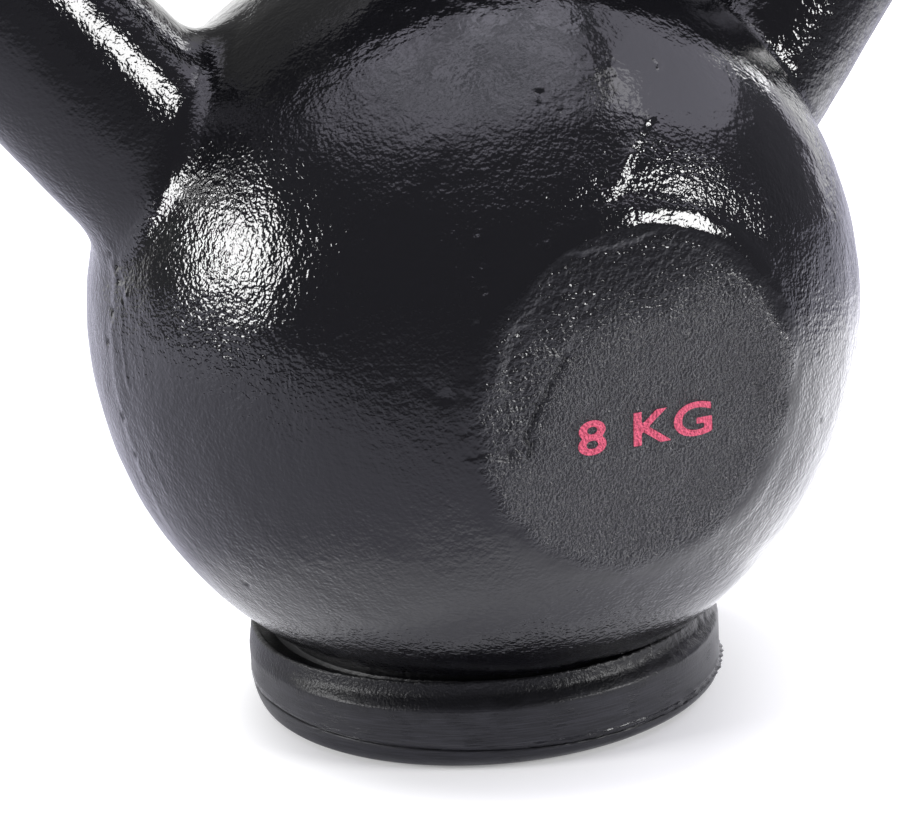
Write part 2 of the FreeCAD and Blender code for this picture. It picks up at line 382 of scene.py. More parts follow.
@dataclass(frozen=True)
class CastingForm:
    """The casting's smooth form: ball, handle, round faces and the step under the ball."""

    handle: HandleForm
    ball_radius: float
    ball_height: float
    step_offset: float
    base_height: float
    step_radius: float = 32.5 * MM
    # The round faces. Their rims are soft below and crisp above, and change over an arc given by its cosines.
    face_radius: float = 24.0 * MM
    face_plane: float = 54.4 * MM
    face_drop: float = 3.9 * MM
    face_tilt: float = math.radians(3.7)
    face_side: float = 0.6
    soft_rim: float = 4.2 * MM
    crisp_rim: float = 0.4 * MM
    crisp_turn: float = math.radians(12.0)
    crisp_arc: Span = (0.45, 0.85)
    # The collar round a crisp rim, and the hollow beyond it.
    collar_rise: float = 0.13 * MM
    collar_height: float = 0.34 * MM
    collar_start: float = -0.5 * MM
    collar_width: float = 1.9 * MM
    collar_slope: float = 2.2 * MM
    hollow_length: float = 5.0 * MM
    # The roundings between horns and ball, which are wide inside the window and narrow at the right.
    outer_blend: float = 4.5 * MM
    window_blend: float = 9.0 * MM
    window_side: Span = (32.0 * MM, 54.0 * MM)
    window_depth: Span = (3.0 * MM, 12.0 * MM)
    right_blend: float = 0.6
    right_side: Span = (10.0 * MM, 40.0 * MM)

    @property
    def face_height(self) -> float:
        """Height of the round faces' centres."""
        return self.ball_height - self.face_drop

    def distance(self, points: np.ndarray) -> np.ndarray:
        """Measure how far points lie from the casting's surface.

        Args:
            points: Places, one row each.

        Returns:
            Distances, negative inside the casting.
        """
        centred = points - np.array([0.0, 0.0, self.ball_height])
        ball = np.linalg.norm(centred, axis=1) - self.ball_radius
        ball = self._with_faces(points, ball)
        horns = self.handle.distance(points)
        inward = 1.0 - ramp(np.abs(points[:, 0]), *self.window_side)
        inward = inward * (1.0 - ramp(np.abs(points[:, 1]), *self.window_depth))
        blend = self.outer_blend + (self.window_blend - self.outer_blend) * inward
        blend = blend * (1.0 + (self.right_blend - 1.0) * ramp(points[:, 0], *self.right_side))
        overlap = np.maximum(blend - np.abs(ball - horns), 0.0)
        whole = np.minimum(ball, horns) - overlap**2 / (4.0 * blend)
        step = np.hypot(points[:, 0] - self.step_offset, points[:, 1]) - self.step_radius
        step = np.maximum(step, points[:, 2] - self.ball_height)
        return np.maximum(np.minimum(whole, step), self.base_height - points[:, 2])

    def from_face(self, points: np.ndarray) -> np.ndarray:
        """Distance of each point from the axis through the round faces' centres."""
        return np.hypot(points[:, 0], points[:, 2] - self.face_height)

    def _with_faces(self, points: np.ndarray, ball: np.ndarray) -> np.ndarray:
        """Turn the ball's distances flat inside the round faces.

        The upper rim is a crisp edge with a narrow collar, and the ball is slightly hollow beyond the collar.
        Lower down, ball and face meet softly. The face is tilted a little towards the floor.

        Args:
            points: Places, one row each.
            ball: Distances from the plain ball.

        Returns:
            Distances from the ball with its faces.
        """
        up = points[:, 2] - self.face_height
        from_centre = self.from_face(points)
        around = (up * math.cos(self.crisp_turn) + points[:, 0] * math.sin(self.crisp_turn)) / from_centre.clip(MM)
        crisp = ramp(around, *self.crisp_arc)
        softness = self.soft_rim + (self.crisp_rim - self.soft_rim) * crisp
        rim = from_centre - self.face_radius
        share = 1.0 - ramp(rim / softness, -1.0, 1.0)
        fronted = np.abs(points[:, 1]) > self.face_side * self.ball_radius
        share = np.where(fronted, share, 0.0)
        tilted = np.abs(points[:, 1]) - self.face_plane - up * math.tan(self.face_tilt)
        beyond = rim - self.collar_width
        fade = np.exp(-np.maximum(beyond - self.collar_slope, 0.0) / self.hollow_length)
        hollow = self.collar_height * ramp(beyond, 0.0, self.collar_slope) * fade
        hollow += self.collar_rise * (1.0 - ramp(rim, self.collar_start, self.collar_width))
        ball = ball + np.where(fronted, hollow * crisp, 0.0)
        return ball + (tilted - ball) * share

    def reach_at(self, height: Union[float, np.ndarray]) -> Union[float, np.ndarray]:
        """How far the ball stands out from its upright axis at a height, or at each of several."""
        return np.sqrt(np.maximum(self.ball_radius**2 - (height - self.ball_height) ** 2, 0.0))

    def depth_at(self, reach: float) -> float:
        """Height of the ball's underside at a distance from its upright axis."""
        return self.ball_height - math.sqrt(self.ball_radius**2 - reach**2)

    def settle(self, points: np.ndarray, rounds: int = 4) -> np.ndarray:
        """Move points along the form's slope until they lie on its surface.

        Args:
            points: Places near the surface, one row each.
            rounds: How often each point is moved.

        Returns:
            The places on the surface.
        """
        for _ in range(rounds):
            slope = self.slope(points)
            steepness = np.maximum((slope * slope).sum(axis=1), 0.25)
            points = points - slope * (self.distance(points) / steepness)[:, None]
        return points

    def slope(self, points: np.ndarray, step: float = 0.05 * MM) -> np.ndarray:
        """Work out the distance's gradient, which points straight out of the surface.

        Args:
            points: Places, one row each.
            step: How far to each side the distance is measured.

        Returns:
            The gradients, one row each.
        """
        parts = []
        for axis in range(3):
            shift = np.zeros(3)
            shift[axis] = step
            parts.append((self.distance(points + shift) - self.distance(points - shift)) / (2 * step))
        return np.stack(parts, axis=1)

    def outward(self, points: np.ndarray) -> np.ndarray:
        """Unit directions straight out of the surface."""
        slope = self.slope(points)
        return slope / np.maximum(np.linalg.norm(slope, axis=1), 1e-6)[:, None]


@dataclass(frozen=True)
class Mark:
    """A flaw of the casting's skin along a line, or round a single point.

    Every measure is in millimetres. The places are measured from the ball's centre and need only be near the
    surface. A step raises the skin on one side of the line and lowers it on the other, out to its reach.
    """

    places: tuple[tuple[float, float, float], ...]
    width: float
    height: float
    step: float = 0.0
    reach: float = 2.5
    unevenness: float = 0.5
    uneven_length: float = 1.5

    def line(self, form: CastingForm) -> np.ndarray:
        """The mark's corners on the casting's surface."""
        points = np.array(self.places) * MM + np.array([0.0, 0.0, form.ball_height])
        return form.settle(points, rounds=8)

    def measure(self, form: CastingForm, points: np.ndarray) -> tuple[np.ndarray, np.ndarray]:
        """Measure how far each point lies from the mark, and on which side of it.

        Args:
            form: The casting's smooth form.
            points: Places on the form, one row each.

        Returns:
            Distances, and sides from -1 to 1.
        """
        line = self.line(form)
        if len(line) == 1:
            return np.linalg.norm(points - line[0], axis=1), np.zeros(len(points))
        nearest = np.full(len(points), np.inf)
        side = np.zeros(len(points))
        across = form.outward((line[:-1] + line[1:]) / 2)
        for start, end, outward in zip(line[:-1], line[1:], across):
            stretch = end - start
            share = np.clip((points - start) @ stretch / (stretch @ stretch), 0.0, 1.0)
            offset = points - (start + share[:, None] * stretch)
            distance = np.linalg.norm(offset, axis=1)
            closer = distance < nearest
            nearest = np.where(closer, distance, nearest)
            lateral = offset @ np.cross(outward, stretch / np.linalg.norm(stretch))
            side = np.where(closer, lateral, side)
        return nearest, np.tanh(side / (0.5 * self.width * MM))

    def relief(self, form: CastingForm, points: np.ndarray) -> np.ndarray:
        """Work out the height that the mark adds to the surface.

        Args:
            form: The casting's smooth form.
            points: Places on the form, one row each.

        Returns:
            The height at each point.
        """
        distance, side = self.measure(form, points)
        uneven = 1.0 + self.unevenness * noise_at(points, self.uneven_length * MM, shift=21.0)
        line = self.height * uneven * hump(distance, 0.0, self.width * MM)
        edge = self.step * side * hump(distance, 0.0, self.reach * MM)
        return (line + edge) * MM


# ---------------------------------------------------------------------------------------------------------
# Node trees
# ---------------------------------------------------------------------------------------------------------

Operand = Union["Value", float]


class Value:
    """A number in a node tree, which Python's operators turn into Math nodes."""

    def __init__(self, nodes: "Nodes", socket: bpy.types.NodeSocket) -> None:
        """Wrap an output socket of a tree."""
        self.nodes = nodes
        self.socket = socket

    def __add__(self, other: Operand) -> "Value":
        """Sum."""
        return self.nodes.math("ADD", self, other)

    def __radd__(self, other: float) -> "Value":
        """Sum with a plain number first."""
        return self.nodes.math("ADD", other, self)

    def __sub__(self, other: Operand) -> "Value":
        """Difference."""
        return self.nodes.math("SUBTRACT", self, other)

    def __rsub__(self, other: float) -> "Value":
        """Difference from a plain number."""
        return self.nodes.math("SUBTRACT", other, self)

    def __mul__(self, other: Operand) -> "Value":
        """Product."""
        return self.nodes.math("MULTIPLY", self, other)

    def __rmul__(self, other: float) -> "Value":
        """Product with a plain number first."""
        return self.nodes.math("MULTIPLY", other, self)

    def __truediv__(self, other: Operand) -> "Value":
        """Quotient."""
        return self.nodes.math("DIVIDE", self, other)

    def __pow__(self, other: Operand) -> "Value":
        """Power."""
        return self.nodes.math("POWER", self, other)

    def size(self) -> "Value":
        """The value without its sign."""
        return self.nodes.math("ABSOLUTE", self)

    def rise(self, start: float, end: float) -> "Value":
        """A smooth step from 0 at start to 1 at end."""
        return self.nodes.step(self, start, end)


class Nodes:
    """A node tree, written as expressions."""

    def __init__(self, tree: bpy.types.NodeTree, output: str) -> None:
        """Empty a tree and give it an output.

        Args:
            tree: The tree of a material or a world.
            output: Blender's type of the output node.
        """
        self.tree = tree
        self.tree.nodes.clear()
        self.output = tree.nodes.new(output)
        self.coordinates = tree.nodes.new("ShaderNodeTexCoord")

    @property
    def place(self) -> bpy.types.NodeSocket:
        """Object coordinates, in metres."""
        return self.coordinates.outputs["Object"]

    def node(self, kind: str, settings: dict[str, object], **inputs: object) -> bpy.types.Node:
        """Add a node.

        Args:
            kind: Blender's node type.
            settings: Properties of the node, which are set first.
            inputs: Values or links for its sockets. A double underscore stands for a space, and a name such as
                _2 for the socket of that number.

        Returns:
            The new node.
        """
        made = self.tree.nodes.new(kind)
        for name, value in settings.items():
            setattr(made, name, value)
        for name, value in inputs.items():
            key = int(name[1:]) if name[0] == "_" else name.replace("__", " ")
            self.feed(made.inputs[key], value)
        return made

    def feed(self, socket: bpy.types.NodeSocket, value: object) -> None:
        """Link a value to a socket, or set it.

        Args:
            socket: The input to feed.
            value: A value or an output to link, or what the input is set to.
        """
        if isinstance(value, Value):
            self.tree.links.new(value.socket, socket)
        elif isinstance(value, bpy.types.NodeSocket):
            self.tree.links.new(value, socket)
        else:
            socket.default_value = value

    def math(self, operation: str, *operands: Operand) -> Value:
        """A Math node."""
        inputs = {f"_{index}": operand for index, operand in enumerate(operands)}
        return Value(self, self.node("ShaderNodeMath", {"operation": operation}, **inputs).outputs[0])

    def step(self, value: Value, start: float, end: float) -> Value:
        """Add a smooth step from 0 to 1.

        Args:
            value: The number that steps.
            start: Where the step sets in.
            end: Where it is complete.

        Returns:
            The step.
        """
        settings = {"interpolation_type": "SMOOTHSTEP"}
        made = self.node("ShaderNodeMapRange", settings, Value=value, From__Min=start, From__Max=end)
        return Value(self, made.outputs["Result"])

    def axes(self, place: Optional[bpy.types.NodeSocket] = None) -> tuple[Value, Value, Value]:
        """The three coordinates of a vector, or of the shaded point."""
        split = self.node("ShaderNodeSeparateXYZ", {}, Vector=place or self.place)
        return tuple(Value(self, socket) for socket in split.outputs)

    def stretched(self, scale: Sequence[float]) -> bpy.types.NodeSocket:
        """Object coordinates scaled differently along each axis."""
        return self.node("ShaderNodeMapping", {}, Vector=self.place, Scale=scale).outputs[0]

    def noise(
        self,
        wavelength: float,
        detail: float = 0.0,
        roughness: float = 0.5,
        place: Optional[bpy.types.NodeSocket] = None,
    ) -> Value:
        """Noise between 0 and 1.

        Args:
            wavelength: Typical distance between one bump and the next.
            detail: Number of finer layers on top of the first.
            roughness: Share of each layer in the next finer one.
            place: Coordinates to use instead of the shaded point.

        Returns:
            The noise.
        """
        made = self.node(
            "ShaderNodeTexNoise",
            {},
            Vector=place or self.place,
            Scale=NOISE_WAVELENGTH / wavelength,
            Detail=detail,
            Roughness=roughness,
        )
        return Value(self, made.outputs[0])

    def blend(self, share: Operand, first: Sequence[float], second: Sequence[float]) -> bpy.types.NodeSocket:
        """A colour between two colours."""
        made = self.node("ShaderNodeMix", {"data_type": "RGBA"}, _0=share, _6=first, _7=second)
        return made.outputs[2]


class Surface(Nodes):
    """A material with a Principled shader."""

    def __init__(self, name: str) -> None:
        """Make the material.

        Args:
            name: The material's name.
        """
        self.material = bpy.data.materials.new(name)
        self.material.use_nodes = True
        super().__init__(self.material.node_tree, "ShaderNodeOutputMaterial")
        self.shader = self.tree.nodes.new("ShaderNodeBsdfPrincipled")
        self.tree.links.new(self.shader.outputs[0], self.output.inputs["Surface"])

    def set(self, **inputs: object) -> None:
        """Set the Principled shader's inputs.

        Args:
            inputs: Values or links. A double underscore stands for a space.
        """
        for name, value in inputs.items():
            self.feed(self.shader.inputs[name.replace("__", " ")], value)

    def bump(self, relief: Value) -> None:
        """Give the surface a relief, in millimetres."""
        made = self.node("ShaderNodeBump", {}, Strength=1.0, Distance=MM, Height=relief)
        self.tree.links.new(made.outputs[0], self.shader.inputs["Normal"])


# ---------------------------------------------------------------------------------------------------------
# Finishes
# ---------------------------------------------------------------------------------------------------------


@dataclass(frozen=True)
class SandGrain:
    """The relief that sand leaves on cast iron, as enamel shows it."""

    form: CastingForm
    # The grain of the faces sets in along a ragged edge.
    face_edge: Span = (21.5 * MM, 25.5 * MM)
    face_depth: Span = (45.0 * MM, 48.0 * MM)
    face_wander: float = 4.0 * MM
    # The middle of the scab, to the left of the face's centre and above it, and the ring where it ends.
    scab_left: float = 19.0 * MM
    scab_up: float = 2.5 * MM
    scab_edge: Span = (6.5 * MM, 8.5 * MM)
    scab_wander: float = 3.0 * MM
    # Heights above a face's centre between which the lower face's lighter colour ends, painted light that stands for
    # the floor's reflection.
    painted_light_top: Span = (3.0 * MM, 19.0 * MM)
    painted_light_wander: float = 8.0 * MM
    # Where the enamel is thin: the ring round a face and the ball's left.
    ring_inside: Span = (25.5 * MM, 27.5 * MM)
    ring_outside: Span = (32.0 * MM, 44.0 * MM)
    thin_left: Span = (-36.0 * MM, -16.0 * MM)
    # Where it is thick: the pool above the face's right, and the handle.
    pool_bottom: Span = (33.0 * MM, 42.0 * MM)
    pool_top: Span = (47.0 * MM, 52.0 * MM)
    handle_start: Span = (94.0 * MM, 108.0 * MM)
    # The coarser right of the ball, and where that ends below the handle.
    right_side: Span = (35.0 * MM, 42.0 * MM)
    right_top: Span = (105.0 * MM, 120.0 * MM)

    def on_face(self, nodes: Nodes) -> Value:
        """Tell the round faces from the rest.

        Args:
            nodes: The material's tree.

        Returns:
            1 on the round faces, 0 elsewhere.
        """
        x, y, z = nodes.axes()
        up = z - self.form.face_height
        from_centre = (x * x + up * up) ** 0.5
        wander = (nodes.noise(9.0 * MM) - 0.5) * self.face_wander
        inside = 1.0 - (from_centre + wander).rise(*self.face_edge)
        return inside * y.size().rise(*self.face_depth) * (1.0 - self.on_scab(nodes) * 0.45)

    def on_scab(self, nodes: Nodes) -> Value:
        """Tell the glossy torn scab from the rest.

        Args:
            nodes: The material's tree.

        Returns:
            1 on the scab, 0 elsewhere.
        """
        x, y, z = nodes.axes()
        across, up = x + self.scab_left, (z - self.form.face_height - self.scab_up) * 0.7
        from_middle = (across * across + up * up) ** 0.5
        near = 1.0 - (from_middle + nodes.noise(3.0 * MM) * self.scab_wander).rise(*self.scab_edge)
        return near * (0.0 - y).rise(0.0, 40.0 * MM)

    def lower_face_painted_light(self, nodes: Nodes, face: Value) -> Value:
        """Find the lower part of each face, which is painted lighter than its upper part: painted light that stands
        for the floor's reflection.

        Args:
            nodes: The material's tree.
            face: 1 on the round faces.

        Returns:
            1 on the lower face, which is painted lighter, 0 elsewhere.
        """
        x, _, z = nodes.axes()
        ragged = z - x * 0.20 + (nodes.noise(6.0 * MM, detail=2.0) - 0.5) * self.painted_light_wander
        low, high = self.painted_light_top
        upper = ragged.rise(self.form.face_height + low, self.form.face_height + high)
        return face * (1.0 - upper)

    def sandy(self, nodes: Nodes) -> Value:
        """Find where the enamel is thin over the sand's grain, and where it has run thick and smooth.

        Args:
            nodes: The material's tree.

        Returns:
            1 where the enamel is thin, near 0 where it is thick.
        """
        x, _, z = nodes.axes()
        up = z - self.form.face_height
        rim = (x * x + up * up) ** 0.5
        round_face = rim.rise(*self.ring_inside) * (1.0 - rim.rise(*self.ring_outside))
        left = 1.0 - x.rise(*self.thin_left)
        thin = nodes.math("MAXIMUM", left * 0.75, round_face) * 0.8 + self.on_scab(nodes) * 0.2
        lean = z - self.form.ball_height + x * 0.6
        pool = lean.rise(*self.pool_bottom) * (1.0 - lean.rise(*self.pool_top)) * 0.9
        smooth = nodes.math("MAXIMUM", z.rise(*self.handle_start) * 0.55, pool)
        return (0.28 + thin * 0.72) * (1.0 - smooth) * (0.7 + nodes.noise(15.0 * MM).rise(0.35, 0.65) * 0.3)

    def relief(self, nodes: Nodes, face: Value) -> Value:
        """Work out the grain's relief.

        Args:
            nodes: The material's tree.
            face: 1 on the round faces.

        Returns:
            Heights in millimetres.
        """
        sandy = self.sandy(nodes)
        x, _, z = nodes.axes()
        right = x.rise(*self.right_side) * (1.0 - z.rise(*self.right_top))
        lumps = nodes.noise(3.2 * MM, detail=2.0) * (0.08 + sandy * 0.10 + right * 0.16 - face * 0.06)
        grain = nodes.noise(0.95 * MM, detail=1.5, roughness=0.45) * (0.015 + sandy * 0.165 + right * 0.05)
        upper = face - self.lower_face_painted_light(nodes, face)
        scab = self.on_scab(nodes)
        coarse = nodes.noise(1.5 * MM, detail=1.0, roughness=0.5) * (upper * 0.24 + face * 0.04 + scab * 0.20)
        fine = nodes.noise(0.72 * MM, detail=1.5, roughness=0.6) * (face * 0.60 - upper * 0.52)
        return lumps + grain + coarse + fine


@dataclass(frozen=True)
class Enamel:
    """Gloss black enamel over sand-cast iron, matt and grainy on the round faces."""

    grain: SandGrain
    colour: Colour = (0.006, 0.006, 0.007, 1.0)
    # The lighter colour of the lower faces is painted light.
    painted_light_colour: Colour = (0.022, 0.022, 0.024, 1.0)

    def material(self) -> bpy.types.Material:
        """Build the material.

        Returns:
            The finished material.
        """
        surface = Surface("gloss_enamel")
        face = self.grain.on_face(surface)
        surface.set(
            # The lower part of each face takes the lighter colour: painted light standing for the floor's reflection.
            Base__Color=surface.blend(self.grain.lower_face_painted_light(surface, face), self.colour, self.painted_light_colour),
            Roughness=0.06 + face * 0.06 + surface.noise(5.0 * MM) * 0.04,
            IOR=1.5,
        )
        surface.bump(self.grain.relief(surface, face))
        return surface.material


@dataclass(frozen=True)
class FigurePaint:
    """Red printing ink on the casting's grainy face."""

    grain: SandGrain
    colour: Colour = (0.88, 0.12, 0.21, 1.0)
    thin_colour: Colour = (0.60, 0.065, 0.12, 1.0)

    def material(self) -> bpy.types.Material:
        """Build the material.

        Returns:
            The finished material.
        """
        surface = Surface("red_print")
        speckle = surface.noise(0.6 * MM, detail=2.0)
        surface.set(
            Base__Color=surface.blend(speckle.rise(0.45, 0.7), self.colour, self.thin_colour),
            Roughness=0.5,
            IOR=1.5,
        )
        surface.bump(self.grain.relief(surface, self.grain.on_face(surface)))
        return surface.material


@dataclass(frozen=True)
class Rubber:
    """Matt black moulded rubber, dusty and rubbed along the wall, and left plain black in the band under the lip as
    painted shade.
    """

    colour: Colour = (0.005, 0.005, 0.006, 1.0)
    dusty_colour: Colour = (0.030, 0.030, 0.035, 1.0)
    # The middle of the flash along the mould line, how it leans along X and Y, and how wide it is.
    flash_height: float = 5.0 * MM
    flash_lean: tuple[float, float] = (0.019, 0.033)
    flash_edge: Span = (0.3 * MM, 0.6 * MM)
    # The ragged top of the dusty wall, above which the band under the lip keeps the plain black colour as painted
    # shade.
    wall_top: Span = (8.0 * MM, 11.5 * MM)
    dust_and_painted_shade_wander: float = 5.0 * MM

    def material(self) -> bpy.types.Material:
        """Build the material.

        Returns:
            The finished material.
        """
        surface = Surface("moulded_rubber")
        streaks = surface.noise(10.0 * MM, detail=3.0, roughness=0.6, place=surface.stretched((1.0, 1.0, 30.0)))
        patches = surface.noise(8.0 * MM, detail=2.0)
        x, y, z = surface.axes()
        # The flash along the mould line, which runs askew, is rubbed smooth.
        lean_x, lean_y = self.flash_lean
        flash = 1.0 - (z + x * lean_x - y * lean_y - self.flash_height).size().rise(*self.flash_edge)
        # Above the ragged top, the band under the lip stays plain black without the dusty colour: painted shade under
        # the ball.
        wall = 1.0 - (z + (patches - 0.5) * self.dust_and_painted_shade_wander).rise(*self.wall_top)
        dust_and_painted_shade = (0.25 + streaks.rise(0.35, 0.75) * 0.75) * wall
        surface.set(
            Base__Color=surface.blend(dust_and_painted_shade, self.colour, self.dusty_colour),
            Roughness=0.34 + patches * 0.14 - (1.0 - wall) * 0.06 - flash * 0.22,
            IOR=1.36,
        )
        lines = surface.noise(5.0 * MM, detail=2.0, place=surface.stretched((1.0, 1.0, 24.0)))
        scratches = lines.rise(0.50, 0.75) * wall * patches.rise(0.48, 0.62) * 0.06
        surface.bump(surface.noise(0.7 * MM, detail=3.0) * (0.03 + (1.0 - wall) * 0.10) + scratches)
        return surface.material


@dataclass(frozen=True)
class Glue:
    """Black rubber glue with a dull gloss."""

    colour: Colour = (0.008, 0.008, 0.009, 1.0)

    def material(self) -> bpy.types.Material:
        """Build the material.

        Returns:
            The finished material.
        """
        surface = Surface("black_glue")
        surface.set(Base__Color=self.colour, Roughness=0.35 + surface.noise(2.0 * MM) * 0.2, IOR=1.36)
        surface.bump(surface.noise(0.9 * MM, detail=2.0) * 0.08)
        return surface.material


# ---------------------------------------------------------------------------------------------------------
# The pieces
# ---------------------------------------------------------------------------------------------------------


@dataclass
class Casting:
    """The enamelled iron casting."""

    form: CastingForm
    finish: Enamel
    # The mesh's grid, and the middle and half width of the ring round each face where it is divided finely.
    skin: float = 1.23 * MM
    rim_middle: float = 0.8 * MM
    rim_half: float = 2.2 * MM
    # Where the swells set in above the base, and where and how much the handle is thinned to stay in its size.
    swell_top: float = 14.0 * MM
    handle_start: Span = (100.0 * MM, 130.0 * MM)
    handle_trim: float = 0.16 * MM
    scab_width: float = 9.0 * MM
    # The torn scab at the left of the front face: right edge, left edge, left arm and the lower lip first.
    scab: tuple[Mark, ...] = (
        Mark(((-10.6, -54, 3.8), (-11.8, -54, 1.8), (-13.3, -54, 0.2), (-13.9, -54, -1.4), (-15.4, -54, -3.8),
              (-16.6, -54, -5.6), (-15.9, -54, -7.4), (-16.3, -54, -8.9)), 0.55, -0.50, step=-0.26, reach=3.2),
        Mark(((-19.2, -54, 6.8), (-19.7, -54, 4.0), (-20.5, -54, 1.9), (-19.4, -54, 0.4), (-19.1, -54, -2.3),
              (-18.8, -54, -5.3)), 1.00, 0.06, step=-0.13, reach=1.8),
        Mark(((-19.2, -54, -1.9), (-21.4, -54, -2.0), (-22.7, -54, -3.2), (-24.6, -54, -4.4)), 0.50, 0.06,
             step=0.10, reach=1.4),
        Mark(((-24.5, -54, -8.1), (-23.2, -54, -8.0), (-21.5, -54, -8.5), (-20.3, -54, -9.1)), 0.70, 0.04, step=-0.12,
             reach=1.2),
        Mark(((-19.2, -54, -5.6), (-18.6, -54, -7.0), (-17.8, -54, -8.6)), 0.70, 0.04, step=-0.10, reach=0.9),
        Mark(((-18.2, -54, -5.4), (-17.0, -54, -6.6), (-15.6, -54, -8.5)), 0.70, 0.04, step=-0.12, reach=0.9),
        Mark(((-19.0, -54, -7.9),), 1.0, -0.45),
        Mark(((-21.5, -54, 1.7), (-20.4, -54, 0.8)), 0.75, 0.04, step=-0.12, reach=1.0),
        Mark(((-11.1, -54, 4.0), (-13.4, -54, 5.2), (-15.8, -54, 5.2)), 0.40, 0.14, step=0.14, reach=1.6),
        Mark(((-19.5, -54, -0.6), (-19.0, -54, -3.2), (-18.9, -54, -4.6)), 0.22, -0.25),
    )
    marks: tuple[Mark, ...] = (
        # Pits round the scab and on the ball.
        Mark(((-17.3, -54, 8.5),), 0.6, -0.30),
        Mark(((-16.7, -54, 9.3),), 0.35, 0.16),
        Mark(((-12.3, -54, 18.7),), 0.40, 0.20),
        Mark(((-21.3, -54, 14.3),), 0.45, -0.30),
        Mark(((-20.9, -52, 20.5),), 0.55, 0.25),
        Mark(((-21.0, -53, 17.9),), 0.50, -0.25),
        Mark(((-22.4, -53, 15.6),), 0.45, 0.20),
        Mark(((-22.6, -54, 9.9),), 0.5, -0.25),
        Mark(((-27.5, -53, 0.8),), 0.9, -0.35),
        Mark(((-29.0, -52, 2.1),), 0.5, -0.20),
        Mark(((-7.6, -45.7, 37.7),), 0.45, -0.34),
        Mark(((-8.5, -45.9, 37.0),), 0.35, 0.20),
        Mark(((-5.7, -47.8, 35.3),), 0.40, -0.24),
        Mark(((-33.4, -49.4, 2.6),), 0.6, -0.20),
        Mark(((30.7, -51, -2.7),), 0.40, -0.25),
        Mark(((33.3, -48, -13.8),), 0.40, -0.25),
        Mark(((-46.9, -20, -30.8),), 0.55, -0.25),
        Mark(((-1.5, -51, -30.3),), 0.45, -0.20),
        Mark(((1.5, -50, -33.0), (2.5, -50, -33.2)), 0.30, 0.14),
        Mark(((11.3, -43, 40.2), (11.8, -43, 39.5), (11.0, -44, 38.8)), 0.24, 0.16),
        Mark(((-35.2, -34, 34.0), (-35.7, -36, 31.7)), 0.18, 0.08),
        # Scratches and dents on the face, and the edge inside its upper rim.
        Mark(((-5.5, -54, 7.1), (-6.8, -54, 5.4)), 0.22, 0.10),
        Mark(((18.7, -54, -4.8), (19.5, -54, -5.3)), 0.35, -0.25),
        Mark(((-8.0, -54, 17.9), (-4.3, -54, 18.1), (-1.7, -54, 18.5), (2.4, -54, 19.1)), 0.45, 0.10, step=0.10,
             reach=1.6),
        # A run of enamel above the face.
        Mark(((6.7, -49, 33.0), (4.0, -51, 30.7), (2.2, -52, 29.0)), 0.55, 0.12, step=-0.08, reach=1.4),
        Mark(((7.3, -49, 33.2), (6.2, -49, 32.4)), 0.35, 0.20),
        Mark(((2.2, -52, 29.0), (-0.2, -54, 26.4), (-1.6, -54, 24.8)), 0.80, 0.14, step=-0.13, reach=1.8),
        # The ground-off flash on the left side of the ball, with its pits.
        Mark(((-56, -4, 20), (-58, -6, 12), (-59, -6, 0), (-58, -7, -12), (-55, -7, -22)), 1.6, 0.10, step=0.10,
             reach=3.5),
        Mark(((-57.2, -7, 15.6),), 0.8, -0.35),
        Mark(((-57.2, -5, 17.0),), 0.7, -0.40),
        Mark(((-57.4, -8, 13.6),), 0.5, -0.30),
        Mark(((-57.6, -11, 11.9),), 0.7, 0.25),
        Mark(((-58.6, -6, 8.6),), 0.8, -0.35),
        Mark(((-59.0, -4, 4.0),), 0.6, -0.30),
        Mark(((-58.9, -6.5, -6.9),), 0.9, -0.40),
        Mark(((-57.9, -7.0, -12.7),), 0.8, -0.35),
        Mark(((-57.3, -9, 10.4), (-57.9, -10, 4.0), (-58.0, -11, -2.0)), 0.40, 0.14),
        Mark(((-56.5, -15, 8.0), (-56.9, -16, 1.0)), 0.35, 0.10),
        Mark(((-56.8, -13, -11.0), (-55.4, -14, -17.0)), 0.35, 0.12),
    )

    def build(self) -> bpy.types.Object:
        """Model the casting and dress it.

        Returns:
            The casting.
        """
        piece = join([self._ball(), self._step(), self._handle()], "enamelled_casting")
        apply_modifier(piece, "REMESH", mode="VOXEL", voxel_size=self.skin)
        write_points(piece, self.form.settle(read_points(piece)))
        apply_modifier(piece, "SMOOTH", factor=0.5, iterations=4)
        write_points(piece, self.form.settle(read_points(piece), rounds=2))
        self._refine_marks(piece)
        self._cast_surface(piece)
        finish(piece, self.finish.material())
        return piece

    def _ball(self) -> bpy.types.Object:
        """Model the ball before the handle is joined to it.

        Returns:
            The ball.
        """
        deselect_all()
        bpy.ops.mesh.primitive_uv_sphere_add(
            segments=96,
            ring_count=48,
            radius=self.form.ball_radius,
            location=(0.0, 0.0, self.form.ball_height),
        )
        ball = bpy.context.object
        apply_place(ball)
        return ball

    def _step(self) -> bpy.types.Object:
        """Model the round step under the ball.

        Returns:
            The step.
        """
        deselect_all()
        height = self.form.ball_height / 2 - self.form.base_height
        bpy.ops.mesh.primitive_cylinder_add(
            vertices=96,
            radius=self.form.step_radius,
            depth=height,
            location=(self.form.step_offset, 0.0, self.form.base_height + height / 2),
        )
        step = bpy.context.object
        apply_place(step)
        return step

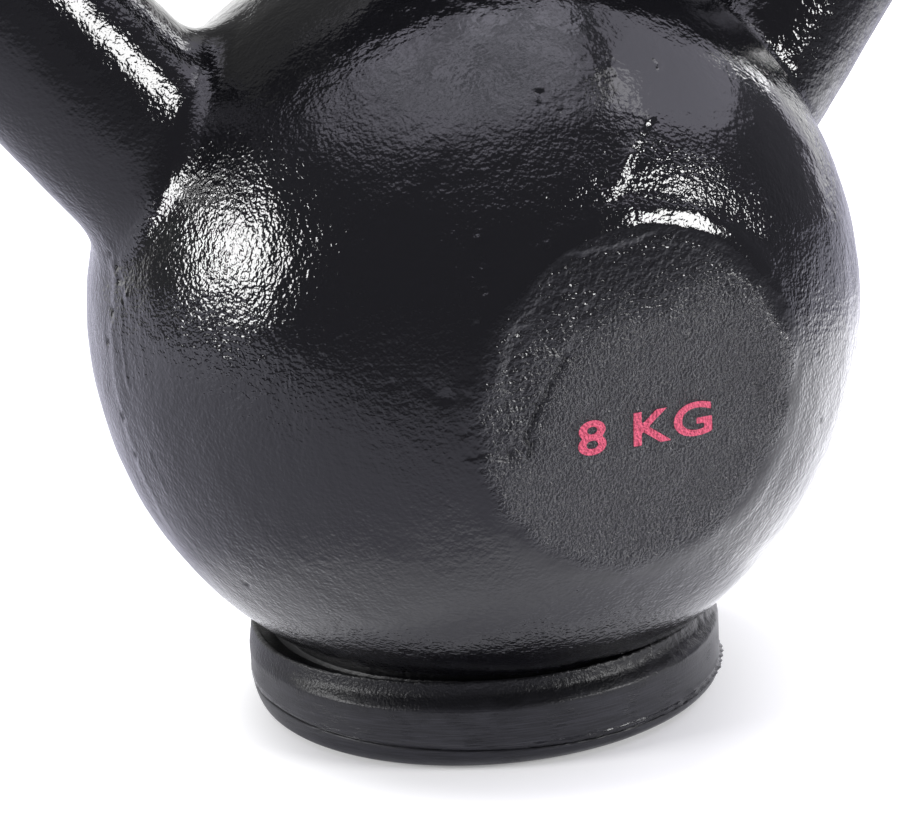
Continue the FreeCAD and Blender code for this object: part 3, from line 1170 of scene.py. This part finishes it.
    def _handle(self) -> bpy.types.Object:
        """Draw a disc out from the middle of the bar to a horn's inner end, and mirror it.

        Returns:
            The handle.
        """
        handle = self.form.handle
        deselect_all()
        bpy.ops.mesh.primitive_circle_add(
            vertices=32,
            radius=handle.grip_radius,
            fill_type="NGON",
            location=(0.0, 0.0, handle.bar_height),
            rotation=(0.0, math.pi / 2, 0.0),
        )
        drawn = bpy.context.object
        apply_place(drawn)
        make_active(drawn)
        bpy.ops.object.mode_set(mode="EDIT")
        bpy.ops.mesh.select_all(action="SELECT")
        bar_half = handle.side_reach - handle.corner_radius
        self._draw_out((bar_half, 0.0, 0.0))
        self._bend(16, math.pi / 2, (bar_half, 0.0, handle.side_top))
        self._draw_out((0.0, 0.0, -handle.side_length))
        flank_centre = (handle.side_reach - handle.flank_radius, 0.0, handle.side_bottom)
        self._bend(8, handle.horn_lean, flank_centre)
        inner = handle.horn_start - handle.horn_end
        self._draw_out((inner[0], 0.0, inner[1]))
        bpy.ops.object.mode_set(mode="OBJECT")
        apply_modifier(drawn, "MIRROR", use_axis=(True, False, False), use_clip=True)
        return drawn

    def _draw_out(self, move: Sequence[float]) -> None:
        """Extrude the selected end of the handle in a straight line."""
        bpy.ops.mesh.extrude_region_move(TRANSFORM_OT_translate={"value": tuple(move)})

    def _bend(self, steps: int, angle: float, centre: Sequence[float]) -> None:
        """Spin the selected end of the handle clockwise, seen from the front, round a centre."""
        bpy.ops.mesh.spin(steps=steps, angle=-angle, center=centre, axis=(0.0, 1.0, 0.0))

    def _refine_marks(self, piece: bpy.types.Object) -> None:
        """Divide the mesh finely round each mark and lay it on the form again.

        Args:
            piece: The casting, on the form.
        """
        points = read_points(piece)
        # The crisp part of each face's rim.
        rim = np.abs(self.form.from_face(points) - self.form.face_radius - self.rim_middle) < self.rim_half
        height = self.form.face_height + 0.3 * self.form.face_radius
        near = rim & (points[:, 2] > height) & (np.abs(points[:, 1]) > self.form.face_radius)
        near |= self._torn(points) > 0.2
        for mark in self.scab + self.marks:
            margin = max(2.2 * mark.width, mark.reach if mark.step else 0.0) * MM + self.skin
            near |= mark.measure(self.form, points)[0] < margin
        refine(piece, near, cuts=2)
        write_points(piece, self.form.settle(read_points(piece), rounds=2))
        points = read_points(piece)
        torn = self._torn(points) > 0.6
        # The scab is divided once more.
        for mark in self.scab:
            torn |= mark.measure(self.form, points)[0] < 1.3 * mark.width * MM + 0.4 * self.skin
        refine(piece, torn, cuts=2)
        write_points(piece, self.form.settle(read_points(piece), rounds=2))

    def _torn(self, points: np.ndarray) -> np.ndarray:
        """1 on the torn scab, which lies to the left of its right edge, and 0 away from it."""
        distance, _ = self.scab[0].measure(self.form, points + np.array([self.scab_width / 2, 0.0, 0.0]))
        return np.exp(-((distance / (0.55 * self.scab_width)) ** 4))

    def _cast_surface(self, piece: bpy.types.Object) -> None:
        """Give the smooth form the swells and lumps of a sand casting, and its marks.

        Args:
            piece: The casting, on the form.
        """
        points = read_points(piece)
        relief = np.zeros(len(points))
        for wavelength, shift, height in ((16.0, 0.0, 0.16), (7.0, 7.0, 0.06), (3.6, 13.0, 0.03)):
            relief += noise_at(points, wavelength * MM, shift) * height * MM
        relief *= ramp(points[:, 2], self.form.base_height, self.swell_top)
        # The marks' lines wander.
        warp = [noise_at(points, 2.4 * MM, shift) * 0.35 * MM + noise_at(points, 0.9 * MM, shift) * 0.16 * MM
                for shift in (41.0, 43.0, 45.0)]
        wandering = points + np.stack(warp, axis=1)
        for mark in self.scab + self.marks:
            relief += mark.relief(self.form, wandering)
        # The torn metal is rough.
        torn = self._torn(points)
        for wavelength, shift, height in ((1.2, 31.0, 0.09), (0.6, 33.0, 0.05)):
            relief += torn * noise_at(points, wavelength * MM, shift) * height * MM
        relief -= ramp(points[:, 2], *self.handle_start) * self.handle_trim
        write_points(piece, points + self.form.outward(points) * relief[:, None])


@dataclass(frozen=True)
class Lip:
    """The foot's worn lip. It hangs down at the front, where the glue was wiped off it.

    Turns are measured round the foot's axis from the right side, and the front is at -90 degrees.
    """

    sink: float = 0.5 * MM
    sink_turn: float = math.radians(95.0)
    wiped_turn: float = math.radians(100.0)
    wiped_arc: Span = (0.3, 0.85)
    fixed_height: float = 7.0 * MM

    def lean_at(self, turn: np.ndarray) -> np.ndarray:
        """1 at the front where the lip lies lowest, -1 at the back where it lies highest."""
        return np.cos(turn + self.sink_turn)

    def wiped_at(self, turn: np.ndarray) -> np.ndarray:
        """1 at the front, where the glue was wiped off, and 0 from the sides to the back."""
        return ramp(np.cos(turn + self.wiped_turn), *self.wiped_arc)

    def sink_at(self, turn: np.ndarray, up: np.ndarray, top: float) -> np.ndarray:
        """How far each point sinks with the lip, from nothing at the fixed height to all of it at the top."""
        return self.sink * (1.0 + self.lean_at(turn)) * ramp(up, self.fixed_height, top)


@dataclass
class RubberFoot:
    """The rubber cup under the ball, turned from a profile and then aged."""

    form: CastingForm
    finish: Rubber
    lip: Lip
    radius: float
    top: float
    shoulder: float = 11.6 * MM
    shoulder_rounding: float = 3.0 * MM
    lip_radius: float = 37.5 * MM
    lip_rounding: float = 0.40 * MM
    hollow: float = 1.30 * MM
    sole_radius: float = 34.2 * MM
    sole_thickness: float = 5.0 * MM
    seat_gap: float = 0.15 * MM
    # The mould line, which lies lowest at the front right, and the step under it.
    mould_line: float = 4.3 * MM
    mould_tilt: float = 1.5 * MM
    mould_turn: float = math.radians(60.0)
    mould_step: float = 0.1 * MM
    # The middle of the bulge under the lip, how far it stands out, and how far the whole wall is worn.
    bulge_turn: float = 1.05
    bulge: float = 0.20 * MM
    wear: float = 0.20 * MM
    turns: int = 480

    def build(self) -> bpy.types.Object:
        """Model the foot and dress it.

        Returns:
            The foot.
        """
        axis = Vector((self.form.step_offset, 0.0, 0.0))
        piece = turned(self._profile(), axis, self.turns, "moulded_rubber_foot")
        self._age(piece)
        finish(piece, self.finish.material())
        return piece

    def _profile(self) -> Outline:
        """Draw half of the section.

        Returns:
            Points from the middle of the sole round the lip to the middle of the seat.
        """
        outline = [(0.0, 0.0)]
        steps = 14
        for index in range(steps + 1):
            turn = math.pi / 2 * index / steps
            swell = (self.radius - self.mould_step - self.sole_radius) * math.sin(turn)
            outline.append((self.sole_radius + swell, self.mould_line * (1.0 - math.cos(turn))))
        # The groove along the mould line, and the wall above it.
        outline.append((self.radius - 0.55 * MM, self.mould_line + 0.15 * MM))
        outline.append((self.radius, self.mould_line + 0.50 * MM))
        outline.append((self.radius, self.mould_line + 0.90 * MM))
        rounding = self.shoulder_rounding
        outline += self._arc(self.radius - rounding, self.shoulder - rounding / 2, rounding, 0, 12)
        lip = self.lip_rounding
        outline += self._arc(self.lip_radius - lip, self.top - lip, lip, 12, 140)
        edge = self.top - self.hollow
        bottom = self.form.depth_at(self.form.step_radius)
        steps = 10
        for index in range(steps + 1):
            height = edge + (bottom - edge) * index / steps
            outline.append((self.form.reach_at(height) + self.seat_gap, height))
        outline.append((self.form.step_radius + self.seat_gap, self.sole_thickness))
        outline.append((0.0, self.sole_thickness))
        return self._divided(outline)

    @staticmethod
    def _arc(out: float, up: float, radius: float, first: float, last: float) -> Outline:
        """Draw a rounding.

        Args:
            out: Distance of its centre from the axis.
            up: Height of its centre.
            radius: Radius of the rounding.
            first: Angle in degrees at which it starts.
            last: Angle in degrees at which it ends.

        Returns:
            Points along the rounding.
        """
        steps = 8
        angles = [math.radians(first + (last - first) * index / steps) for index in range(steps + 1)]
        return [(out + radius * math.cos(angle), up + radius * math.sin(angle)) for angle in angles]

    def _divided(self, outline: Outline, longest: float = 0.3 * MM) -> Outline:
        """Cut the visible stretches of an outline into short pieces.

        Args:
            outline: Distances from the axis, and heights.
            longest: About how long a piece may be.

        Returns:
            The outline with the added points.
        """
        points = [outline[0]]
        for (out, up), (next_out, next_up) in zip(outline[:-1], outline[1:]):
            length = math.hypot(next_out - out, next_up - up)
            visible = min(out, next_out) > self.form.step_radius + 2 * self.seat_gap
            steps = max(1, round(length / longest)) if visible else 1
            for index in range(1, steps + 1):
                share = index / steps
                points.append((out + (next_out - out) * share, up + (next_up - up) * share))
        return points

    def _age(self, piece: bpy.types.Object) -> None:
        """Sink the lip and tilt the mould line, wrinkle the band under the lip and roughen the line.

        Args:
            piece: The foot as turned.
        """
        points = read_points(piece)
        out = np.hypot(points[:, 0] - self.form.step_offset, points[:, 1])
        turn = np.arctan2(points[:, 1], points[:, 0] - self.form.step_offset)
        up = points[:, 2].copy()
        outside = ramp(out, self.form.step_radius + 0.3 * MM, self.form.step_radius + 0.9 * MM)
        away = np.stack([np.cos(turn), np.sin(turn), 0.0 * turn], axis=1)
        around = away * self.radius
        sink = self.lip.sink_at(turn, up, self.top) * outside
        draw = self._drawn_in(out, up, turn, sink) * outside
        tilt = np.cos(turn + self.mould_turn) * self.mould_tilt
        below = 1.0 - ramp(up, self.mould_line + 0.5 * MM, 9.0 * MM)
        sink += tilt * ramp(up, 0.0, self.mould_line) * below * outside
        push = self._pushed_out(around, up, turn, outside)
        points = points + away * (push - draw - self.wear * outside)[:, None]
        # The lip's edge is ragged where the glue was wiped off.
        edge = ramp(up, self.top - 0.8 * MM, self.top - 0.1 * MM) * (out > self.lip_radius - 1.5 * MM)
        wiped = 0.25 + 0.75 * self.lip.wiped_at(turn)
        sink += edge * wiped * (noise_at(around, 2.2 * MM, shift=15.0) + noise_at(around, 0.9 * MM)) * 0.16 * MM
        points[:, 2] = np.maximum(points[:, 2] - sink, 0.0)
        write_points(piece, points)

    def _drawn_in(self, out: np.ndarray, up: np.ndarray, turn: np.ndarray, sink: np.ndarray) -> np.ndarray:
        """Work out how far the lip draws in as it sinks, because the ball is narrower further down.

        Args:
            out: Distances from the foot's axis.
            up: Heights.
            turn: Turns round the axis.
            sink: How far each point sinks with the lip.

        Returns:
            How far each point moves towards the axis.
        """
        reach = self.form.reach_at(up)
        fall = reach - self.form.reach_at(up - sink)
        seat = 1.0 - ramp(out - reach, 0.3 * MM, 1.5 * MM)
        front = ramp(self.lip.lean_at(turn), 0.1, 0.9) * ramp(up, 10.0 * MM, 12.5 * MM)
        return fall * np.maximum(seat, front) + 0.5 * MM * front * (1.0 - seat)

    def _pushed_out(self, around: np.ndarray, up: np.ndarray, turn: np.ndarray, outside: np.ndarray) -> np.ndarray:
        """Work out the wrinkles, the slack swells and the flash of the wall.

        Args:
            around: Each point's place on a level circle round the axis.
            up: Heights.
            turn: Turns round the axis.
            outside: 1 on the outside, 0 in the seat.

        Returns:
            How far each point moves away from the axis.
        """
        wall = around + np.stack([0.0 * up, 0.0 * up, up], axis=1)
        # Wrinkles under the lip, strongest at the front right, where the band bulges.
        right = ramp(np.cos(turn + self.bulge_turn), 0.55, 0.95)
        band = ramp(up, 10.0 * MM, 11.4 * MM) * outside
        steep = wall * np.array([1.0, 1.0, 0.5])
        wrinkle = noise_at(steep, 1.2 * MM, shift=3.0) * 0.16 * MM + noise_at(wall, 0.7 * MM, shift=5.0) * 0.07 * MM
        push = band * (0.25 + 0.75 * right) * wrinkle
        push += band * right * self.bulge
        # Slack swells all round, and the ragged flash at the mould line, with a few lumps at the right.
        push += noise_at(wall, 14.0 * MM, shift=9.0) * 0.12 * MM * outside * ramp(up, 0.0, 3.0 * MM)
        above = up - self.mould_line
        line = hump(above, 0.2 * MM, 0.40 * MM) * outside
        ragged = noise_at(wall * np.array([1.0, 1.0, 3.0]), 1.6 * MM, shift=11.0)
        push += line * (ragged * (0.08 + 0.30 * right) + 0.08 * right) * MM
        flash = hump(above, 0.5 * MM, 0.20 * MM) * outside
        return push + flash * (0.08 + right * (0.36 + 0.20 * ragged)) * MM


@dataclass
class GlueLayer:
    """The glue between the foot and the casting, with the bead that is squeezed out of the seam."""

    form: CastingForm
    finish: Glue
    lip: Lip
    lip_top: float
    seat: float
    # The seam lies below the lip's top, and the layer reaches a little into the ball and nearly to the seat.
    seam_depth: float = 0.9 * MM
    seat_gap: float = 0.15 * MM
    inner: float = -0.05 * MM
    outer: float = 0.12 * MM
    # The bead's height, half of its thickness and its place beside the ball.
    bead: float = 0.32 * MM
    bead_half: float = 0.16 * MM
    bead_place: float = 0.02 * MM
    turns: int = 480

    @property
    def seam(self) -> float:
        """Height of the seam between lip and ball."""
        return self.lip_top - self.seam_depth

    def build(self) -> bpy.types.Object:
        """Model the layer and dress it.

        Returns:
            The glue.
        """
        axis = Vector((self.form.step_offset, 0.0, 0.0))
        piece = turned(self._profile(), axis, self.turns, "squeezed_glue")
        self._squeeze(piece)
        finish(piece, self.finish.material())
        return piece

    def _profile(self) -> Outline:
        """Draw half of the section.

        Returns:
            Points from the axis out along the seat to the seam, and back along the casting.
        """
        bottom = self.form.depth_at(self.form.step_radius)
        edge = self.seam - self.seat_gap
        steps = 8
        heights = [bottom + (edge - bottom) * index / steps for index in range(steps + 1)]
        outline = [(0.0, self.seat), (self.form.step_radius + self.outer, self.seat)]
        outline += [(self.form.reach_at(height) + self.outer, height) for height in heights]
        middle = self.form.reach_at(edge) + self.bead_place
        for index in range(1, steps):
            turn = math.pi * index / steps
            outline.append((middle + self.bead_half * math.cos(turn), edge + self.bead * math.sin(turn)))
        outline += [(self.form.reach_at(height) + self.inner, height) for height in reversed(heights)]
        outline += [(self.form.step_radius + self.inner, self.form.base_height), (0.0, self.form.base_height)]
        return outline

    def _squeeze(self, piece: bpy.types.Object) -> None:
        """Let the bead swell and thin out, and follow the lip down while it stays on the ball.

        Args:
            piece: The layer as turned.
        """
        points = read_points(piece)
        turn = np.arctan2(points[:, 1], points[:, 0] - self.form.step_offset)
        away = np.stack([np.cos(turn), np.sin(turn)], axis=1)
        out = np.hypot(points[:, 0] - self.form.step_offset, points[:, 1])
        up = points[:, 2].copy()
        edge = self.seam - self.seat_gap
        ring = np.concatenate([away * self.form.ball_radius, (0.0 * up)[:, None]], axis=1)
        front = self.lip.wiped_at(turn)
        ragged = noise_at(ring, 2.4 * MM, shift=2.0) + 0.8 * noise_at(ring, 0.9 * MM, shift=4.0)
        swell = np.clip(0.35 + front * (0.45 + 0.9 * ragged), 0.05, 2.2)
        lift = np.maximum(up - edge, 0.0)
        sink = self.lip.sink_at(turn, up, self.seam) * (out > self.form.step_radius - 0.1 * MM)
        height = np.minimum(up, edge) - sink
        fall = self.form.reach_at(np.minimum(up, edge)) - self.form.reach_at(height)
        reach = self.form.reach_at(up)
        inner = (out < reach - 0.02 * MM) & (up > self.form.depth_at(self.form.step_radius) + 0.1 * MM)
        # The ball's axis is beside the foot's.
        shift = self.form.step_offset * np.cos(turn)
        reach = self.form.ball_radius**2 - (height - self.form.ball_height) ** 2
        on_ball = np.sqrt(shift**2 - self.form.step_offset**2 + reach) - shift + self.inner
        out = np.where(inner, on_ball, out - fall + lift * swell * 0.6)
        points[:, 0] = self.form.step_offset + away[:, 0] * out
        points[:, 1] = away[:, 1] * out
        points[:, 2] = height + lift * swell
        write_points(piece, points)


@dataclass
class WeightFigure:
    """The weight printed on the front face."""

    form: CastingForm
    finish: FigurePaint
    words: str = "8 KG"
    cap_height: float = 4.9 * MM
    left: float = -9.0 * MM
    right: float = 11.6 * MM
    base: float = 51.6 * MM
    # How far the film stands out from the casting, and how finely it is divided.
    film: float = 0.05 * MM
    grain: float = 0.13 * MM
    # The letters as typed, for a letter height of about 1.
    thickness: float = 0.35
    boldness: float = 0.02
    letter_spacing: float = 1.12

    def build(self, casting: bpy.types.Object) -> bpy.types.Object:
        """Model the letters, lay them on the casting and dress them.

        Args:
            casting: The finished casting.

        Returns:
            The printed figure.
        """
        deselect_all()
        bpy.ops.object.text_add(rotation=(math.pi / 2, 0.0, 0.0))
        piece = bpy.context.object
        piece.data.body = self.words
        piece.data.extrude = self.thickness
        piece.data.offset = self.boldness
        piece.data.space_character = self.letter_spacing
        bpy.ops.object.convert(target="MESH")
        apply_place(piece)
        apply_modifier(piece, "WELD", merge_threshold=1e-4)
        points = read_points(piece)
        low, high = points.min(axis=0), points.max(axis=0)
        scale = np.array([(self.right - self.left), MM, self.cap_height]) / (high - low)
        place = np.array([self.left, -self.form.face_plane - 0.5 * MM, self.base])
        write_points(piece, (points - low) * scale + place)
        apply_modifier(piece, "REMESH", mode="VOXEL", voxel_size=self.grain)
        self._lay_on(piece, casting)
        finish(piece, self.finish.material())
        return name_piece(piece, "printed_weight")

    def _lay_on(self, piece: bpy.types.Object, casting: bpy.types.Object) -> None:
        """Press the letters to a thin film on the casting's surface.

        Args:
            piece: The letters in front of the face.
            casting: The finished casting.
        """
        tree = BVHTree.FromObject(casting, bpy.context.evaluated_depsgraph_get())
        points = read_points(piece)
        front = points[:, 1] < -self.form.face_plane
        start = -self.form.face_plane - 5.0 * MM
        for index, (x, _, z) in enumerate(points.tolist()):
            hit = tree.ray_cast(Vector((x, start, z)), Vector((0.0, 1.0, 0.0)))[0]
            points[index, 1] = hit.y - (self.film if front[index] else -self.film)
        write_points(piece, points)


# ---------------------------------------------------------------------------------------------------------
# The studio
# ---------------------------------------------------------------------------------------------------------


@dataclass(frozen=True)
class Lamp:
    """A rectangular soft light, given by its direction from the ball, its size as seen from there, and brightness.

    Angles are in degrees, and the azimuth is 0 at the front and 90 at the right.
    """

    name: str
    azimuth: float
    elevation: float
    width: float
    height: float
    brightness: float
    distance: float = 1.2

    def build(self, aim: Vector) -> None:
        """Hang the lamp so that it faces the aim.

        Args:
            aim: The point to light.
        """
        turn, rise = math.radians(self.azimuth), math.radians(self.elevation)
        away = Vector((math.sin(turn) * math.cos(rise), -math.cos(turn) * math.cos(rise), math.sin(rise)))
        light = bpy.data.lights.new(self.name, "AREA")
        light.shape = "RECTANGLE"
        light.size = 2 * self.distance * math.tan(math.radians(self.width) / 2)
        light.size_y = 2 * self.distance * math.tan(math.radians(self.height) / 2)
        light.energy = self.brightness * math.pi * light.size * light.size_y
        lamp = bpy.data.objects.new(self.name, light)
        bpy.context.scene.collection.objects.link(lamp)
        lamp.location = aim + away * self.distance
        lamp.rotation_euler = away.to_track_quat("Z", "Y").to_euler()


@dataclass
class Studio:
    """A white floor and plain soft light."""

    aim: Vector
    floor_size: float = 8.0
    # Where the floor that reflections and bounced light see turns from pale to a painted shade towards the front.
    painted_shade_edge: Span = (-0.33, -0.03)
    # The painted shade that the eye sees round the foot, where the floor's glow is weaker: its middle, its edge, and
    # where it is painted lighter at the right.
    shade_middle: tuple[float, float] = (6.0 * MM, -8.0 * MM)
    shade_edge: Span = (39.0 * MM, 60.0 * MM)
    shade_right: Span = (28.0 * MM, 55.0 * MM)
    # Painted light that glossy surfaces see on the floor: a glowing patch at the right, and a glowing ring round the
    # foot.
    painted_patch_out: float = 0.19
    painted_patch_radius: float = 0.25
    ring_inside: Span = (43.0 * MM, 50.0 * MM)
    ring_outside: Span = (64.0 * MM, 90.0 * MM)
    # Where the room's rear wall, ceiling and right wall are pale, as parts of unit directions.
    rear_side: Span = (0.56, 0.63)
    rear_top: Span = (0.30, 0.40)
    ceiling_edge: Span = (0.76, 0.94)
    ceiling_left: Span = (0.63, 0.66)
    wall_edge: Span = (0.95, 0.99)
    wall_top: Span = (0.56, 0.60)
    # The floor's colours: painted shade towards its front and pale elsewhere for reflections and bounced light, and
    # the colour the eye sees. Then the room's colours.
    painted_shade_colour: Colour = (0.12, 0.12, 0.14, 1.0)
    sheet_colour: Colour = (0.66, 0.66, 0.73, 1.0)
    seen_colour: Colour = (0.76, 0.76, 0.76, 1.0)
    room_colour: Colour = (0.96, 0.94, 1.10, 1.0)
    rear_colour: Colour = (1.0, 1.0, 1.0, 1.0)
    lamps: tuple[Lamp, ...] = (
        Lamp("left_window", -97.0, 19.0, 19.0, 18.0, 22.0),
        Lamp("right_window", 41.0, 18.0, 20.0, 15.0, 24.0),
        Lamp("rear_window", 115.0, 25.0, 7.0, 18.0, 5.0),
        Lamp("ceiling_lamp", 62.0, 53.0, 10.0, 9.0, 2.0),
    )

    def build(self) -> None:
        """Set the scene."""
        self._floor()
        self._world()
        for lamp in self.lamps:
            lamp.build(self.aim)

    def _floor(self) -> None:
        """Lay a pale floor with painted light and shade. Reflections and bounced light see it darker towards the
        front, and glossy surfaces see a glowing patch and ring on it. The eye sees it white through a glow of its
        own, weaker round the foot, wherever no shadow falls.
        """
        deselect_all()
        bpy.ops.mesh.primitive_plane_add(size=self.floor_size)
        floor = name_piece(bpy.context.object, "white_floor")
        material = bpy.data.materials.new("white_floor")
        material.use_nodes = True
        nodes = Nodes(material.node_tree, "ShaderNodeOutputMaterial")
        path = nodes.node("ShaderNodeLightPath", {})
        seen = Value(nodes, path.outputs["Is Camera Ray"])
        mirrored = Value(nodes, path.outputs["Is Glossy Ray"])
        x, y, _ = nodes.axes()
        # Reflections and bounced light see the floor darker towards the front, a painted shade, while the eye sees it
        # pale.
        floor_with_painted_shade = nodes.blend(y.rise(*self.painted_shade_edge), self.painted_shade_colour, self.sheet_colour)
        diffuse = nodes.node("ShaderNodeBsdfDiffuse", {}, Color=nodes.blend(seen, floor_with_painted_shade, self.seen_colour))
        across, along = x - self.shade_middle[0], y - self.shade_middle[1]
        away = (across * across + along * along) ** 0.5
        # The eye sees the floor glow. The glow is weaker round the foot as painted shade, and stronger at the right
        # as painted light.
        seen_glow_with_painted_shade = 0.24 + away.rise(*self.shade_edge) * 0.66
        seen_glow_with_painted_shade = seen_glow_with_painted_shade + (x - y * 0.42).rise(*self.shade_right) * 0.24
        # Glossy surfaces see the floor glow in a patch at the right and in a ring round the foot: painted light.
        right = x - self.painted_patch_out
        painted_light_patch = 1.0 - ((right * right + y * y) ** 0.5).rise(0.0, self.painted_patch_radius)
        near = away.rise(*self.ring_inside) * (1.0 - away.rise(*self.ring_outside))
        painted_glow_in_reflections = painted_light_patch * 1.9 + near * 0.55 + 0.12
        glow = nodes.node("ShaderNodeEmission", {}, Strength=seen * seen_glow_with_painted_shade + mirrored * painted_glow_in_reflections)
        both = nodes.node("ShaderNodeAddShader", {}, _0=diffuse.outputs[0], _1=glow.outputs[0])
        nodes.tree.links.new(both.outputs[0], nodes.output.inputs["Surface"])
        floor.data.materials.append(material)

    def _world(self) -> None:
        """Show the eye a white room, and surfaces a dim one with a pale ceiling, right wall and rear wall."""
        world = bpy.data.worlds.new("studio")
        bpy.context.scene.world = world
        world.use_nodes = True
        nodes = Nodes(world.node_tree, "ShaderNodeOutputWorld")
        x, y, z = nodes.axes(nodes.coordinates.outputs["Generated"])
        rear = (y + x * 0.25).rise(*self.rear_side) * (1.0 - z.rise(*self.rear_top)) * 1.3
        lean = z - x * 0.47
        patchy = nodes.noise(0.16, detail=4.0, roughness=0.65, place=nodes.coordinates.outputs["Generated"])
        ceiling = z.rise(*self.ceiling_edge) * lean.rise(*self.ceiling_left) * (1.0 - y.rise(0.1, 0.6) * 0.75)
        ceiling = ceiling * (0.7 + patchy.rise(0.35, 0.65) * 2.2)
        wall = (z + x * 0.60 + y * 0.16).rise(*self.wall_edge) * (1.0 - lean.rise(*self.wall_top)) * (1.35 - y * 1.6)
        room = 0.20 + rear + ceiling + wall
        path = nodes.node("ShaderNodeLightPath", {})
        seen = Value(nodes, path.outputs["Is Camera Ray"])
        tint = nodes.blend(nodes.math("MAXIMUM", seen, y.rise(0.3, 0.6)), self.room_colour, self.rear_colour)
        back = nodes.node("ShaderNodeBackground", {}, Color=tint, Strength=seen + (1.0 - seen) * room)
        nodes.tree.links.new(back.outputs[0], nodes.output.inputs["Surface"])


@dataclass(frozen=True)
class View:
    """The camera, given by where it stands round the ball and how it is turned.

    Angles are in radians, and the distance is in radii of the ball.
    """

    ball_centre: Vector
    ball_radius: float
    azimuth: float = 0.4013
    elevation: float = 0.2115
    distance: float = 5.7846
    pan: float = -0.0135
    tilt: float = -0.0473
    roll: float = -0.0659
    focal_length: float = 88.0

    def build(self) -> None:
        """Place the camera and make it the scene's own."""
        level = Vector((-math.sin(self.azimuth), -math.cos(self.azimuth), 0.0))
        away = level * math.cos(self.elevation) + Vector((0.0, 0.0, math.sin(self.elevation)))
        forward = -away
        right = forward.cross(Vector((0.0, 0.0, 1.0))).normalized()
        up = right.cross(forward)
        forward, up = self._turned(forward, up, self.tilt)
        forward, right = self._turned(forward, right, self.pan)
        right, up = self._turned(right, up, self.roll)
        camera_data = bpy.data.cameras.new("view")
        camera_data.lens = self.focal_length
        camera_data.clip_start = 0.01
        camera = bpy.data.objects.new("view", camera_data)
        bpy.context.scene.collection.objects.link(camera)
        turn = Matrix((right, up, -forward)).transposed().to_4x4()
        place = self.ball_centre + away * self.distance * self.ball_radius
        camera.matrix_world = Matrix.Translation(place) @ turn
        bpy.context.scene.camera = camera

    @staticmethod
    def _turned(first: Vector, second: Vector, angle: float) -> tuple[Vector, Vector]:
        """Turn two perpendicular directions in their plane, the first towards the second.

        Args:
            first: A unit direction.
            second: A unit direction square to the first.
            angle: How far to turn, in radians.

        Returns:
            Both directions after the turn.
        """
        cosine, sine = math.cos(angle), math.sin(angle)
        return first * cosine + second * sine, second * cosine - first * sine


def main() -> None:
    """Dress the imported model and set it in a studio."""
    logging.basicConfig(level=logging.INFO)
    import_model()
    low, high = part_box("iron_casting")
    foot_low, foot_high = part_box("rubber_foot")
    handle = HandleForm(
        ball_height=BALL_HEIGHT,
        side_reach=high.x - HandleForm.grip_radius,
        bar_height=high.z - HandleForm.grip_radius,
    )
    form = CastingForm(
        handle=handle,
        ball_radius=BALL_RADIUS,
        ball_height=BALL_HEIGHT,
        step_offset=(foot_low.x + foot_high.x) / 2,
        base_height=low.z,
    )
    centre = Vector((0.0, 0.0, BALL_HEIGHT))
    View(centre, BALL_RADIUS).build()
    Studio(centre).build()
    grain = SandGrain(form)
    casting = Casting(form, Enamel(grain)).build()
    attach(casting, "root")
    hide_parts("iron_casting")
    lip = Lip()
    foot = RubberFoot(form, Rubber(), lip, radius=foot_high.y, top=foot_high.z).build()
    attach(foot, "root")
    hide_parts("rubber_foot")
    glue = GlueLayer(form, Glue(), lip, lip_top=foot_high.z, seat=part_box("adhesive_bond")[0].z).build()
    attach(glue, "root")
    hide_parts("adhesive_bond")
    figure = WeightFigure(form, FigurePaint(grain)).build(casting)
    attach(figure, "root")
    for piece in (casting, foot, glue, figure):
        LOG.info("%s has %d faces", piece.name, len(piece.data.polygons))
    bpy.context.scene.view_settings.view_transform = "Standard"


if __name__ == "__main__":
    main()
